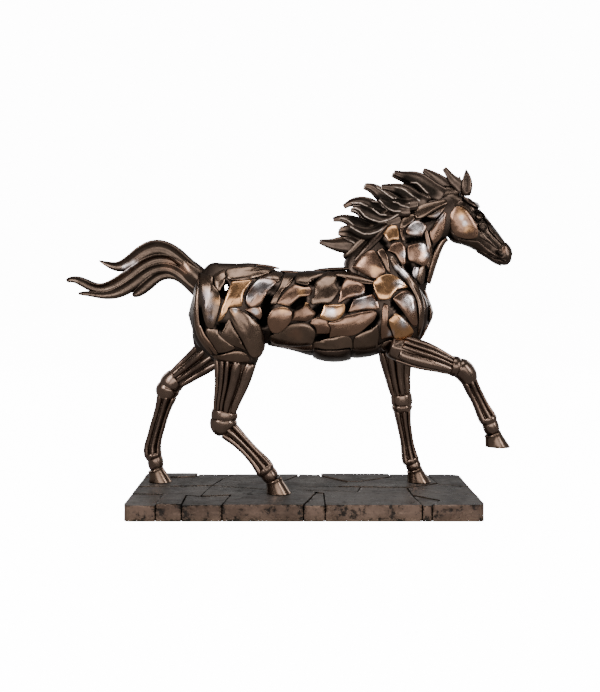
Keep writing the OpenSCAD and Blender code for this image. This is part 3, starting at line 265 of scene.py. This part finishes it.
# ---- Turning the frame's faceted plates into soft castings ----
def soft_copy(node, crease):
    """A welded copy of a CAD node's mesh, with its flat triangles joined into quads and its rims creased."""
    mesh = nodes[node].data.copy()
    mesh.name = node + "_soft"
    edit = bmesh.new()
    edit.from_mesh(mesh)
    bmesh.ops.remove_doubles(edit, verts=edit.verts, dist=0.01 * MM)
    bmesh.ops.dissolve_degenerate(edit, edges=edit.edges, dist=0.01 * MM)
    bmesh.ops.join_triangles(edit, faces=edit.faces, angle_face_threshold=math.radians(50),
                             angle_shape_threshold=math.radians(60), cmp_seam=False)
    bmesh.ops.recalc_face_normals(edit, faces=edit.faces)
    if crease:
        layer = edit.edges.layers.float.new("crease_edge")
        for edge in edit.edges:
            if edge.is_manifold and edge.calc_face_angle() > math.radians(48):
                edge[layer] = crease
    edit.to_mesh(mesh)
    edit.free()
    for layer in list(mesh.uv_layers):
        mesh.uv_layers.remove(layer)
    return mesh


def islands(mesh):
    """A number for each vertex: which separate solid it belongs to."""
    group = np.full(len(mesh.vertices), -1, int)
    near = [[] for _ in mesh.vertices]
    for edge in mesh.edges:
        a, b = edge.vertices
        near[a].append(b)
        near[b].append(a)
    count = 0
    for start in range(len(group)):
        if group[start] >= 0:
            continue
        group[start] = count
        stack = [start]
        while stack:
            for other in near[stack.pop()]:
                if group[other] < 0:
                    group[other] = count
                    stack.append(other)
        count += 1
    return group, count


def scalar(mesh, name, values):
    """Stores one number for each vertex."""
    layer = mesh.attributes.new(name, "FLOAT", "POINT")
    layer.data.foreach_set("value", np.asarray(values, np.float32))


def tints(mesh, values):
    """Stores one colour for each vertex."""
    layer = mesh.attributes.new("tint", "FLOAT_COLOR", "POINT")
    layer.data.foreach_set("color", np.asarray(values, np.float32).ravel())


def positions(mesh):
    """The vertices' places, one row each."""
    flat = np.zeros(len(mesh.vertices) * 3)
    mesh.vertices.foreach_get("co", flat)
    return flat.reshape(-1, 3)


def normals(mesh):
    """The vertices' outward directions, one row each."""
    flat = np.zeros(len(mesh.vertices) * 3)
    mesh.vertices.foreach_get("normal", flat)
    return flat.reshape(-1, 3)


# ---- Tones of the pieces and places on the body ----
# Base colours of the bronze, before the patina's own variation, and the colours of painted shade and
# highlights.
GOLD = (0.42, 0.225, 0.11)
COPPER = (0.19, 0.112, 0.077)
BROWN = (0.135, 0.091, 0.067)
LIMB = (0.145, 0.099, 0.076)
DARK = (0.062, 0.043, 0.034)
MANE = (0.075, 0.054, 0.043)
TAIL = (0.085, 0.06, 0.046)
LILAC = (0.15, 0.124, 0.124)
FACE_BROWN = (0.058, 0.041, 0.032)
# Painted shade: the near-black of the lining, which stands for the shade inside the hollow body.
LINING_SHADE = (0.05, 0.036, 0.029)
# Painted highlights: a pale silver-white sheen and a near-white glare.
PAINTED_SHEEN = (0.42, 0.37, 0.365)
GLARE = (0.8, 0.74, 0.74)

# Places in the tables below are (x, z) in the side view, in millimetres.

# The colours of the plates, each at the middle of its plate. The pale silver-white one is a painted
# highlight.
PLATE_TONES = {
    "haunch_plates": [((-77, 177), BROWN), ((-57, 180), GOLD), ((-38, 184), COPPER), ((-45, 200), BROWN),
                      ((-69, 195), BROWN), ((-26, 199), BROWN)],
    "thigh_plates": [((-48, 151), BROWN), ((-57, 151), BROWN), ((-70, 142), BROWN), ((-40, 169), COPPER)],
    "flank_plates": [((-13, 190), BROWN), ((-19, 162), COPPER), ((-1, 168), COPPER), ((-10, 149), BROWN)],
    "rib_plates": [((5, 198), BROWN), ((-6, 183), COPPER), ((18, 187), BROWN), ((40, 186), COPPER),
                   ((23, 168), GOLD), ((50, 175), COPPER), ((14, 156), COPPER)],
    "belly_plates": [((40, 158), COPPER), ((25, 140), BROWN), ((54, 146), BROWN)],
    "shoulder_plates": [((55, 206), COPPER), ((71, 190), GOLD), ((88, 173), COPPER), ((81, 156), GOLD),
                        ((69, 158), COPPER), ((96, 170), BROWN), ((103, 170), DARK), ((82, 140), BROWN)],
    "neck_plates": [((108, 256), BROWN), ((88, 247), BROWN), ((74, 235), GOLD), ((68, 237), DARK),
                    ((95, 238), COPPER), ((112, 251), BROWN), ((115, 240), COPPER), ((80, 217), COPPER),
                    ((96, 216), COPPER), ((95, 201), PAINTED_SHEEN), ((101, 200), BROWN)],
}
PLATE_REACH = 9  # how near a plate's middle must be to its entry in PLATE_TONES, in millimetres

# Patches of another colour and painted highlights on both sides of the horse: [place, radius, colour]. Later
# ones lie on top.
PATCHES_AND_HIGHLIGHTS = [
    ((-80, 182), 5, LILAC), ((-78, 173), 4, LILAC), ((-70, 178), 3.5, GOLD), ((-76, 164), 3, LILAC),
    ((-153, 205), 3.5, PAINTED_SHEEN), ((-146, 209), 3.5, PAINTED_SHEEN), ((-115, 208), 6, COPPER),
    ((-102, 204), 6, COPPER), ((-7, 150), 6, COPPER), ((28, 236), 9, BROWN), ((36, 261), 5, BROWN),
    ((52, 277), 6, BROWN), ((-37, 189), 6, PAINTED_SHEEN), ((-44, 181), 4, PAINTED_SHEEN), ((-30, 191), 5, PAINTED_SHEEN),
    ((-40, 169), 2.5, PAINTED_SHEEN), ((-56, 169.5), 3.5, GOLD), ((-17, 171), 4, GOLD), ((22, 168), 5, PAINTED_SHEEN),
    ((47, 178), 5, PAINTED_SHEEN), ((56, 176), 4, PAINTED_SHEEN), ((62, 187), 4, GOLD), ((78, 191), 4, PAINTED_SHEEN),
    ((86, 178), 5.5, PAINTED_SHEEN), ((90, 172), 4, PAINTED_SHEEN), ((82, 159), 4.5, PAINTED_SHEEN), ((72, 150), 3, PAINTED_SHEEN),
    ((95, 238), 6, PAINTED_SHEEN), ((101, 222), 4, PAINTED_SHEEN), ((104, 216), 3, PAINTED_SHEEN), ((84, 216), 3, PAINTED_SHEEN),
    ((83, 199), 4, PAINTED_SHEEN), ((78, 205), 3, PAINTED_SHEEN), ((115, 248), 4, PAINTED_SHEEN), ((60, 203), 4, GOLD),
    ((134, 252), 5, GOLD), ((140, 238), 4, GOLD), ((134, 248), 2.2, PAINTED_SHEEN), ((137, 243), 2, PAINTED_SHEEN),
    ((172, 221), 2.5, COPPER), ((-2, 185), 4, GOLD), ((2, 175), 3, GOLD), ((95, 240), 5, GLARE),
    ((-39, 192), 3.5, GLARE), ((49, 181), 3, GLARE), ((88, 178), 4, GLARE), ((83, 202), 3.5, GLARE),
    ((23, 169), 2.5, GLARE), ((81, 160), 3, GLARE), ((80, 193), 3, GLARE), ((100, 224), 3, GLARE),
    ((-56, 170), 2, GLARE),
]

# Places where the plates leave the hollow open, painted black as shade: [from, to, radius].
OPENINGS = [
    ((-86, 168), (-84, 152), 4), ((-66, 190), (-66, 183), 4), ((-68, 156), (-63, 155), 3.5),
    ((-29, 178), (-34, 160), 4.5), ((8, 193), (14, 196), 3), ((-8, 173), (-1, 179), 3.5),
    ((32, 193), (30, 198), 3), ((10, 168), (16, 173), 3.5), ((36, 171), (42, 177), 3.5),
    ((12, 145), (20, 149), 3.5), ((52, 154), (60, 164), 3.5), ((54, 184), (56, 192), 3.5),
    ((75, 175), (82, 168), 3), ((66, 229), (70, 221), 2.2), ((102, 246), (112, 249), 2.8),
    ((89, 228), (101, 230), 2.6), ((88, 206), (91, 200), 3), ((109, 192), (107, 200), 2),
]


def mixed(a, b, k):
    """The colour that lies the share k of the way from a to b."""
    return tuple(x + (y - x) * k for x, y in zip(a, b))


def tone_of(node, centre, seed):
    """A piece's own colour: its entry in PLATE_TONES if it has one, or a shade near brown."""
    shade = noise.noise(Vector((seed * 1.7, seed * 0.31, 4.2)))
    tone = mixed(BROWN, COPPER, 0.4 + 0.9 * shade)
    place = (centre[0] / MM, centre[2] / MM)
    for key, spots in PLATE_TONES.items():
        if node.endswith(key):
            near = min(spots, key=lambda spot: math.dist(spot[0], place))
            if math.dist(near[0], place) < PLATE_REACH:
                tone = near[1]
    return tuple(max(0.01, c * (1 + 0.3 * shade)) for c in tone)


def add_patches_and_highlights(points, colours):
    """Fades the patches of other colours and the painted highlights into the pieces' own colours, with ragged
    edges.
    """
    flat = points[:, [0, 2]] * 1000
    ragged = np.array([noise.noise(Vector(p) * 260) + 0.6 * noise.noise(Vector(p) * 620) for p in points])
    for place, radius, shade in PATCHES_AND_HIGHLIGHTS:
        away = np.linalg.norm(flat - place, axis=1) / radius + 0.45 * ragged
        amount = np.clip(1.35 - away, 0, 1)[:, None] ** 1.4
        colours[:, :3] = colours[:, :3] * (1 - amount) + np.array(shade) * amount


# ---- Shaping a piece and working out its masks ----
def subdivided(cage, levels):
    """A smooth surface through the cage's own vertices, so that it keeps the CAD's size."""
    carrier = bpy.data.objects.new("carrier", cage)
    bpy.context.scene.collection.objects.link(carrier)
    smooth = carrier.modifiers.new("smooth", "SUBSURF")
    smooth.levels = levels
    wanted = positions(cage)
    moved = wanted.copy()
    for last in (False, False, True):
        bpy.context.view_layer.update()
        result = bpy.data.meshes.new_from_object(carrier.evaluated_get(bpy.context.evaluated_depsgraph_get()))
        if not last:
            miss = wanted - positions(result)[: len(wanted)]
            moved += 0.8 * miss
            cage.vertices.foreach_set("co", moved.ravel())
            cage.update()
            bpy.data.meshes.remove(result)
    bpy.data.objects.remove(carrier)
    return result


def convexity(mesh, reach):
    """How sharply the surface bends outwards at each vertex, averaged over the given number of rings."""
    points, facing = positions(mesh), normals(mesh)
    ends = np.zeros(len(mesh.edges) * 2, int)
    mesh.edges.foreach_get("vertices", ends)
    a, b = ends.reshape(-1, 2).T
    step = points[b] - points[a]
    length = np.maximum(np.linalg.norm(step, axis=1), 1e-6)
    bend = np.einsum("ij,ij->i", facing[b] - facing[a], step) / length ** 2
    value = np.zeros(len(points))
    weight = np.zeros(len(points))
    for end in (a, b):
        np.add.at(value, end, bend * length)
        np.add.at(weight, end, length)
    value /= np.maximum(weight, 1e-9)
    for _ in range(reach):
        total, count = value.copy(), np.ones(len(points))
        for p, q in ((a, b), (b, a)):
            np.add.at(total, p, value[q])
            np.add.at(count, p, 1)
        value = total / count
    return value * MM


def hammered(mesh, amount, size, seed, swell):
    """Moves the surface in and out by soft uneven dents, and outwards everywhere by the swell."""
    points, facing = positions(mesh), normals(mesh)
    for i, (p, n) in enumerate(zip(points, facing)):
        place = Vector(p) / size
        dent = noise.noise(place + Vector((seed, 0, 0)))
        dent += 0.5 * noise.noise(place * 2.3 + Vector((0, seed, 0)))
        points[i] = p + n * (dent * amount + swell)
    mesh.vertices.foreach_set("co", points.ravel())
    mesh.update()


def finish_piece(name, mesh, metal, node_list):
    """Adds a finished piece to the scene in place of its CAD nodes."""
    piece = bpy.data.objects.new(name, mesh)
    bpy.context.scene.collection.objects.link(piece)
    mesh.materials.clear()
    mesh.materials.append(metal)
    for polygon in mesh.polygons:
        polygon.use_smooth = True
    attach(piece, "root")
    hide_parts(*node_list)


rods = positions(nodes["armature"].data)
rod_tree = KDTree(len(rods))
for number, rod_point in enumerate(rods):
    rod_tree.insert(rod_point, number)
rod_tree.balance()


def facing_inwards(points, facing):
    """0 where the surface faces out from the armature, 1 where it faces in towards it."""
    away = np.array([p - np.array(rod_tree.find(p)[0]) for p in points])
    away /= np.maximum(np.linalg.norm(away, axis=1, keepdims=True), 1e-9)
    return np.clip(0.15 - np.einsum("ij,ij->i", away, facing), 0, 0.3) / 0.3


def capsule(points, start, end):
    """Distance in the side view, in millimetres, from each point to the line between two places."""
    flat = points[:, [0, 2]] * 1000
    a, b = np.array(start, float), np.array(end, float)
    along = np.clip((flat - a) @ (b - a) / max((b - a) @ (b - a), 1e-9), 0, 1)
    return np.linalg.norm(flat - a - along[:, None] * (b - a), axis=1)


def facing_sideways(facing):
    """1 on the horse's sides, fading to 0 where the surface faces up, down, forwards or back."""
    return np.clip(np.abs(facing[:, 1]) * 1.6, 0, 1)


def pressed(mesh, grooves):
    """Presses grooves into both sides and returns the painted shade that lies in them."""
    points, facing = positions(mesh), normals(mesh)
    painted_shade = np.zeros(len(points))
    sideways = facing_sideways(facing)
    for start, end, radius, depth, dark in grooves:
        near = np.exp(-(capsule(points, start, end) / radius) ** 2)
        points -= facing * (near * sideways * depth * MM)[:, None]
        painted_shade = np.maximum(painted_shade, near * sideways * dark)
    mesh.vertices.foreach_set("co", points.ravel())
    mesh.update()
    return painted_shade


def openness(points):
    """1 in the openings between the plates, 0 elsewhere."""
    return np.max([np.clip((1.3 - capsule(points, a, b) / radius) / 0.3, 0, 1) for a, b, radius in OPENINGS],
                  axis=0)


def narrowed(mesh, start, end, share):
    """Draws the sides of a piece in, from none at x = start to the given share at x = end."""
    points = positions(mesh)
    along = np.clip((points[:, 0] * 1000 - start) / (end - start), 0, 1)
    points[:, 1] *= 1 - share * along ** 2
    mesh.vertices.foreach_set("co", points.ravel())
    mesh.update()


# The thin bright ridge lines of the mane, each a row of places.
RIDGES = [
    [(42, 261), (49, 261), (55, 258), (60, 254), (65, 250), (70, 250)],
    [(44, 256), (48, 254), (52, 249), (58, 246), (65, 244), (73, 246), (80, 250)],
    [(59, 262), (65, 262), (68, 258), (72, 255), (77, 253), (82, 253)],
    [(76, 261), (80, 260), (82, 258), (89, 256)],
    [(32, 248), (37, 247), (41, 244), (43, 242)],
    [(40, 240), (45, 237), (51, 234), (57, 234), (63, 236), (68, 239)],
    [(35, 231), (39, 229), (45, 226)],
    [(63, 274), (68, 271), (73, 267), (78, 264)],
    [(77, 274), (83, 273), (87, 271), (92, 267), (99, 262)],
    [(92, 278), (97, 278), (101, 274), (106, 269)],
]
RIDGE_HEIGHT = 0.6 * MM
RIDGE_RADIUS = 0.8
# The hollows between the mane's locks, painted dark as shade: [from, to, radius].
HAIR_HOLLOWS = [
    ((43, 247), (64, 241), 5), ((52, 257), (68, 251), 4.5), ((61, 260), (78, 256), 4),
    ((66, 266), (84, 261), 3.5), ((88, 281), (110, 270), 4.5), ((41, 236), (62, 231), 4.5),
    ((80, 270), (98, 265), 3), ((45, 224), (56, 226), 3),
]


def carved(mesh, painted_shade):
    """Raises the mane's fine ridge lines, paints shade into the hollows between them and returns both masks.
    """
    points, facing = positions(mesh), normals(mesh)
    strokes = [(a, b) for line in RIDGES for a, b in zip(line, line[1:])]
    away = np.min([capsule(points, a, b) for a, b in strokes], axis=0)
    ridge = np.exp(-(away / RIDGE_RADIUS) ** 2) * facing_sideways(facing)
    points += facing * (ridge * RIDGE_HEIGHT)[:, None]
    mesh.vertices.foreach_set("co", points.ravel())
    mesh.update()
    hollows = [np.clip(1.5 - capsule(points, a, b) / radius, 0, 0.93) for a, b, radius in HAIR_HOLLOWS]
    return np.maximum(painted_shade, np.max(hollows, axis=0)) * (1 - ridge), ridge


def piece_colours(node, mesh, points, count, tone):
    """Each separate solid's colour at its vertices."""
    solid = np.zeros(len(points), np.float32)
    mesh.attributes["solid"].data.foreach_get("value", solid)
    solid = np.rint(solid).astype(int)
    colours = np.ones((len(points), 4))
    for k in range(count):
        mine = solid == k
        if mine.any():
            centre = points[mine].mean(axis=0)
            colours[mine, :3] = tone if tone else tone_of(node, centre, k + len(node) * 0.37)
    return colours


BEND_START = 0.12  # the sharpest bend, per millimetre, that gets neither painted shade nor wear
# The most painted shade in a concave bend, on the limbs and on the other pieces.
LIMB_PAINTED_SHADE = 0.3
DEEPEST_PAINTED_SHADE = 0.9
LINING_OUT = 0.8 * MM
LINING_IN = 0.6 * MM


def soften(node, metal, rim=0.8, levels=2, dent=0.12, swell=0.0, tone=None, grooves=(), narrowing=None,
           ridged=False, hollow=False, lining=False):
    """Replaces a faceted CAD node by a smooth casting of the same shape, with the masks of its patina and
    painted shade.

    The rim is the crease of the sharp edges, and the dent and swell are in millimetres. A hollow piece is
    painted black on its inner side as shade. The lining comes up behind the plates, and sinks away at the
    openings, painted black there as shade.
    """
    cage = soft_copy(node, rim)
    group, count = islands(cage)
    scalar(cage, "solid", group)
    mesh = subdivided(cage, levels)
    if dent:
        hammered(mesh, dent * MM, 7 * MM, len(node) * 1.3, swell * MM)
    if narrowing:
        narrowed(mesh, *narrowing)
    painted_shade = pressed(mesh, grooves)
    ridge = np.zeros(len(painted_shade))
    if ridged:
        painted_shade, ridge = carved(mesh, painted_shade)
    points, facing = positions(mesh), normals(mesh)
    colours = piece_colours(node, mesh, points, count, tone)
    if metal in (plate_metal, head_metal, hair_metal):
        add_patches_and_highlights(points, colours)
    tints(mesh, colours)
    # Concave bends get painted shade, convex ones real wear.
    bend = convexity(mesh, 1)
    deepest = LIMB_PAINTED_SHADE if metal is limb_metal else DEEPEST_PAINTED_SHADE
    crevices = np.clip((-bend - BEND_START) / 0.35, 0, deepest)
    scalar(mesh, "painted_shade", np.maximum(painted_shade, crevices * (1 - ridge)))
    scalar(mesh, "wear", np.maximum(ridge, np.clip((bend - BEND_START) / 0.5, 0, 1)))
    inner = np.zeros(len(points))
    # The openings and the hollow pieces' inner sides are painted black as shade through the inside mask.
    if lining:
        inner = openness(points)
        points += facing * (LINING_OUT - (LINING_OUT + LINING_IN) * inner)[:, None]
        mesh.vertices.foreach_set("co", points.ravel())
    if hollow:
        inner = facing_inwards(points, facing)
    scalar(mesh, "inside", inner)
    finish_piece(node + "_cast", mesh, metal, [node])


# ---- The horse ----
BODY = ["haunch_plates", "thigh_plates", "flank_plates", "rib_plates", "belly_plates", "shoulder_plates",
        "neck_plates"]
for side in ("right", "left"):
    for region in BODY:
        soften(f"{side}_{region}", plate_metal, hollow=True)
for node in ("back_plates", "breast_plates"):
    soften(node, plate_metal, hollow=True)
# The keel's dark tone is painted shadow under the belly, and the lining's near-black is painted shade behind
# the plates.
soften("belly_keel", dark_metal, tone=DARK, hollow=True)
soften("body_lining", dark_metal, rim=0, levels=3, dent=0.15, tone=LINING_SHADE, lining=True)

# The limbs' strips swell a little, which narrows the grooves between them.
for leg, top, joint in (("right_hind", "gaskin", "hock"), ("left_hind", "gaskin", "hock"),
                        ("right_fore", "forearm", "knee"), ("left_fore", "forearm", "knee")):
    soften(f"{leg}_{top}", limb_metal, rim=0, dent=0.08, swell=0.6, tone=LIMB)
    soften(f"{leg}_{joint}", limb_metal, rim=0, dent=0.12, tone=LIMB)
    soften(f"{leg}_cannon", limb_metal, rim=0, dent=0.06, swell=0.45, tone=LIMB)
    soften(f"{leg}_pastern", limb_metal, rim=0, dent=0.1, tone=LIMB)
    soften(f"{leg}_hoof", limb_metal, rim=0.5, dent=0.06, tone=BROWN)

for node in ("mane_locks_right", "mane_locks_middle", "mane_locks_left"):
    soften(node, hair_metal, rim=0, levels=3, dent=0.1, tone=MANE, ridged=True)
for node in ("tail_lock_upper", "tail_lock_middle", "tail_lock_lower", "tail_lock_under"):
    soften(node, hair_metal, rim=0, dent=0.1, tone=TAIL)
soften("mane_crest", hair_metal, rim=0, dent=0.15, tone=TAIL)
TAIL_ROOT = (-90, -109, 0.55)  # the x where it starts to narrow, the x of its end, and the share drawn in
soften("tail_dock", hair_metal, rim=0, dent=0.15, tone=TAIL, narrowing=TAIL_ROOT)

# Grooves of the head: [from, to, radius, depth, painted shade], all in millimetres but the painted shade,
# which runs to 1.
EYE_SOCKET = [
    ((145, 251.5), (150, 252), 1.6, 1.2, 1.0), ((150, 252), (154.5, 250.5), 2.8, 1.8, 1.0),
    ((145.5, 250), (148.5, 244.5), 1.1, 0.5, 0.8), ((148.5, 244.5), (154, 245), 1.3, 0.6, 0.9),
]
FACE = EYE_SOCKET + [
    ((160, 244), (172, 227), 1.2, 0.3, 0.8), ((152, 240), (154, 240), 3, 0.8, 0.6),
    ((137, 264), (141, 255), 0.9, 0.6, 0.8), ((141, 255), (146, 246), 0.9, 0.6, 0.8),
    ((156, 246), (163, 237), 1.2, 0.8, 0.8), ((163, 237), (171, 227), 1.2, 0.8, 0.8),
    ((150, 240), (158, 232), 1.1, 0.6, 0.7), ((158, 232), (167, 223), 1.3, 0.7, 0.8),
    ((160, 216), (167, 213), 0.8, 0.9, 1.0), ((167, 213), (174, 211), 0.8, 0.9, 1.0),
    ((166.5, 218), (169.5, 216), 1.5, 1.2, 1.0), ((170, 219), (171, 223), 0.8, 0.5, 0.6),
    ((128, 256), (125, 246), 0.9, 0.6, 0.9), ((125, 246), (128, 236), 0.9, 0.6, 0.9),
    ((128, 236), (136, 230), 0.9, 0.5, 0.7), ((136, 230), (146, 229), 0.9, 0.5, 0.6),
]
soften("skull", head_metal, rim=0, levels=3, dent=0.12, tone=FACE_BROWN, grooves=FACE)
soften("cheek_plates", head_metal, rim=0.5, levels=3, dent=0.15, tone=COPPER, grooves=EYE_SOCKET)
soften("face_strips", head_metal, rim=0.5, dent=0.06, tone=FACE_BROWN, grooves=FACE)
soften("muzzle_plates", head_metal, rim=0.5, dent=0.06, tone=FACE_BROWN, grooves=FACE)
EAR = [((139.5, 272), (139.5, 283), 1.4, 0.7, 0.7)]
soften("ears", head_metal, rim=0, levels=3, dent=0.05, tone=FACE_BROWN, grooves=EAR)
soften("eyes", head_metal, rim=0, levels=2, dent=0, tone=BROWN, grooves=EYE_SOCKET)


# ---- The paving ----
LONGEST_EDGE = 3 * MM
CHIP_DEPTH = 0.3 * MM
UNDERSIDE_DEPTH = 0.12 * MM
ROUGH_PLACE = (-47, -22)  # the middle of the roughest patch of the top, (x, y) in millimetres
ROUGH_RADIUS = 13
ROUGH_SQUASH = 1.3  # how much narrower the patch is from front to back


def paved(node):
    """Replaces flagstones by the same stones with rubbed rims and an uneven, chipped surface."""
    mesh = nodes[node].data.copy()
    mesh.name = node + "_worn"
    edit = bmesh.new()
    edit.from_mesh(mesh)
    bmesh.ops.remove_doubles(edit, verts=edit.verts, dist=0.01 * MM)
    bmesh.ops.dissolve_limit(edit, angle_limit=math.radians(3), verts=edit.verts, edges=edit.edges)
    sharp = [e for e in edit.edges if e.is_manifold and e.calc_face_angle() > math.radians(35)]
    bmesh.ops.bevel(edit, geom=sharp, offset=0.45 * MM, segments=2, profile=0.6, affect="EDGES",
                    clamp_overlap=True)
    bmesh.ops.triangulate(edit, faces=edit.faces)
    for _ in range(6):
        long_edges = [e for e in edit.edges if e.calc_length() > LONGEST_EDGE]
        if not long_edges:
            break
        bmesh.ops.subdivide_edges(edit, edges=long_edges, cuts=1)
        bmesh.ops.triangulate(edit, faces=[f for f in edit.faces if len(f.verts) > 3])
    edit.to_mesh(mesh)
    edit.free()
    for layer in list(mesh.uv_layers):
        mesh.uv_layers.remove(layer)
    mesh.update()
    points, facing = positions(mesh), normals(mesh)
    wear = np.clip((convexity(mesh, 0) - 0.15) / 0.6, 0, 1)
    middle_z = (points[:, 2].min() + points[:, 2].max()) / 2
    worn = np.array([0.5 + 0.6 * noise.noise(Vector(p) / (9 * MM)) + 0.4 * noise.noise(Vector(p) / (3.5 * MM))
                     for p in points])
    depth = np.where(points[:, 2] > middle_z, CHIP_DEPTH, UNDERSIDE_DEPTH) * np.clip(worn, 0, 1.4)
    flat_bottom = points[:, 2] < points[:, 2].min() + 1 * MM
    depth[flat_bottom] = 0
    points -= facing * depth[:, None]
    mesh.vertices.foreach_set("co", points.ravel())
    scalar(mesh, "wear", wear)
    from_patch = (points[:, :2] * 1000 - ROUGH_PLACE) * (1, ROUGH_SQUASH)
    ragged = np.array([noise.noise(Vector(p) / (6 * MM)) for p in points])
    roughness = 1.6 - np.linalg.norm(from_patch, axis=1) / ROUGH_RADIUS + 0.5 * ragged
    scalar(mesh, "rough", np.clip(roughness, 0, 1))
    corner = mesh.attributes.new("side", "FLOAT", "CORNER")
    upright = np.zeros(len(mesh.loops), np.float32)
    for polygon in mesh.polygons:
        upright[list(polygon.loop_indices)] = 1.0 if abs(polygon.normal.z) < 0.6 else 0.0
    corner.data.foreach_set("value", upright)
    finish_piece(node + "_worn", mesh, paving_metal, [node])


for node in ("flagstones_rear", "flagstones_middle", "flagstones_front"):
    paved(node)
# These stay as the CAD made them, because they hardly show.
for node, metal in (("base_core", dark_metal), ("armature", dark_metal), ("felt_sheet", felt),
                    ("hoof_screws", steel)):
    nodes[node].data.materials.clear()
    nodes[node].data.materials.append(metal)

# ---- Camera and studio ----
CAMERA_PLACE = (-6.4 * MM, 188 * MM)  # x and z
CAMERA_GAP = 562.2 * MM  # from the front of the base
camera = bpy.data.objects.new("camera", bpy.data.cameras.new("camera"))
bpy.context.scene.collection.objects.link(camera)
camera.location = (CAMERA_PLACE[0], cad_low.y - CAMERA_GAP, CAMERA_PLACE[1])
camera.rotation_euler = (math.radians(90), 0, 0)
camera.data.lens = 36.6
camera.data.sensor_width = 36
camera.data.shift_x = 0.0058
camera.data.shift_y = -0.0838
camera.data.clip_start = 0.01
camera.data.clip_end = 20
bpy.context.scene.camera = camera

HEART = (0.0, 0.0, 0.16)  # the middle of the horse, where every lamp points


def softbox(name, place, width, height, power):
    """A soft rectangular lamp that points at the horse. Sizes are in metres, the power in watts."""
    light = bpy.data.lights.new(name, "AREA")
    light.shape = "RECTANGLE"
    light.size = width
    light.size_y = height
    light.energy = power
    lamp = bpy.data.objects.new(name, light)
    bpy.context.scene.collection.objects.link(lamp)
    lamp.location = place
    lamp.rotation_euler = (Vector(HEART) - Vector(place)).to_track_quat("-Z", "Y").to_euler()


softbox("overhead", (0.05, -0.3, 0.95), 0.7, 0.35, 4)
softbox("front_left", (-0.7, -0.85, 0.6), 0.3, 0.6, 8)
softbox("front_right", (0.9, -0.7, 0.5), 0.22, 0.6, 6)
softbox("front_fill", (0.1, -1.3, 0.25), 1.3, 0.6, 9)
softbox("back_left", (-0.9, 0.75, 0.5), 0.3, 0.6, 4)
softbox("back_right", (0.9, 0.75, 0.5), 0.3, 0.6, 4)

WHITE = (1, 1, 1, 1)
BACKDROP_STRENGTH = 14  # bright enough to come out pure white behind the object
FLOOR_HALF = 4
FLOOR_GAP = 0.2 * MM
ROOM_AT_HORIZON = 0.42
ROOM_OVERHEAD = 0.22
OVERHEAD_FROM = 0.6  # the upward part of a direction from which the room is as dim as overhead


def pale_floor():
    """A plain floor just under the base, white to the camera and absent from the bronze's reflections."""
    mesh = bpy.data.meshes.new("floor")
    h = FLOOR_HALF
    mesh.from_pydata([(-h, -h, 0), (h, -h, 0), (h, h, 0), (-h, h, 0)], [], [(0, 1, 2, 3)])
    floor = bpy.data.objects.new("floor", mesh)
    floor.location.z = -FLOOR_GAP
    bpy.context.scene.collection.objects.link(floor)
    look = bpy.data.materials.new("pale_floor")
    look.use_nodes = True
    shader = look.node_tree.nodes["Principled BSDF"]
    shader.inputs["Base Color"].default_value = (0.9, 0.9, 0.9, 1)
    shader.inputs["Roughness"].default_value = 0.8
    shader.inputs["Emission Color"].default_value = WHITE
    shader.inputs["Emission Strength"].default_value = BACKDROP_STRENGTH
    mesh.materials.append(look)
    floor.visible_diffuse = False
    floor.visible_glossy = False


def white_room():
    """A world that the camera sees as pure white, and that lights the horse as a dim, even room."""
    world = bpy.data.worlds.new("white_room")
    bpy.context.scene.world = world
    world.use_nodes = True
    sky = world.node_tree
    sky.nodes.clear()
    out = sky.nodes.new("ShaderNodeOutputWorld")
    pick = sky.nodes.new("ShaderNodeMixShader")
    backdrop = sky.nodes.new("ShaderNodeBackground")
    room = sky.nodes.new("ShaderNodeBackground")
    rays = sky.nodes.new("ShaderNodeLightPath")
    direction = sky.nodes.new("ShaderNodeTexCoord")
    upward = sky.nodes.new("ShaderNodeSeparateXYZ")
    fade = sky.nodes.new("ShaderNodeMapRange")
    backdrop.inputs["Color"].default_value = WHITE
    backdrop.inputs["Strength"].default_value = BACKDROP_STRENGTH
    room.inputs["Color"].default_value = WHITE
    fade.inputs["From Min"].default_value = 0.0
    fade.inputs["From Max"].default_value = OVERHEAD_FROM
    fade.inputs["To Min"].default_value = ROOM_AT_HORIZON
    fade.inputs["To Max"].default_value = ROOM_OVERHEAD
    sky.links.new(direction.outputs["Generated"], upward.inputs["Vector"])
    sky.links.new(upward.outputs["Z"], fade.inputs["Value"])
    sky.links.new(fade.outputs["Result"], room.inputs["Strength"])
    sky.links.new(rays.outputs["Is Camera Ray"], pick.inputs["Fac"])
    sky.links.new(room.outputs["Background"], pick.inputs[1])
    sky.links.new(backdrop.outputs["Background"], pick.inputs[2])
    sky.links.new(pick.outputs["Shader"], out.inputs["Surface"])


pale_floor()
white_room()
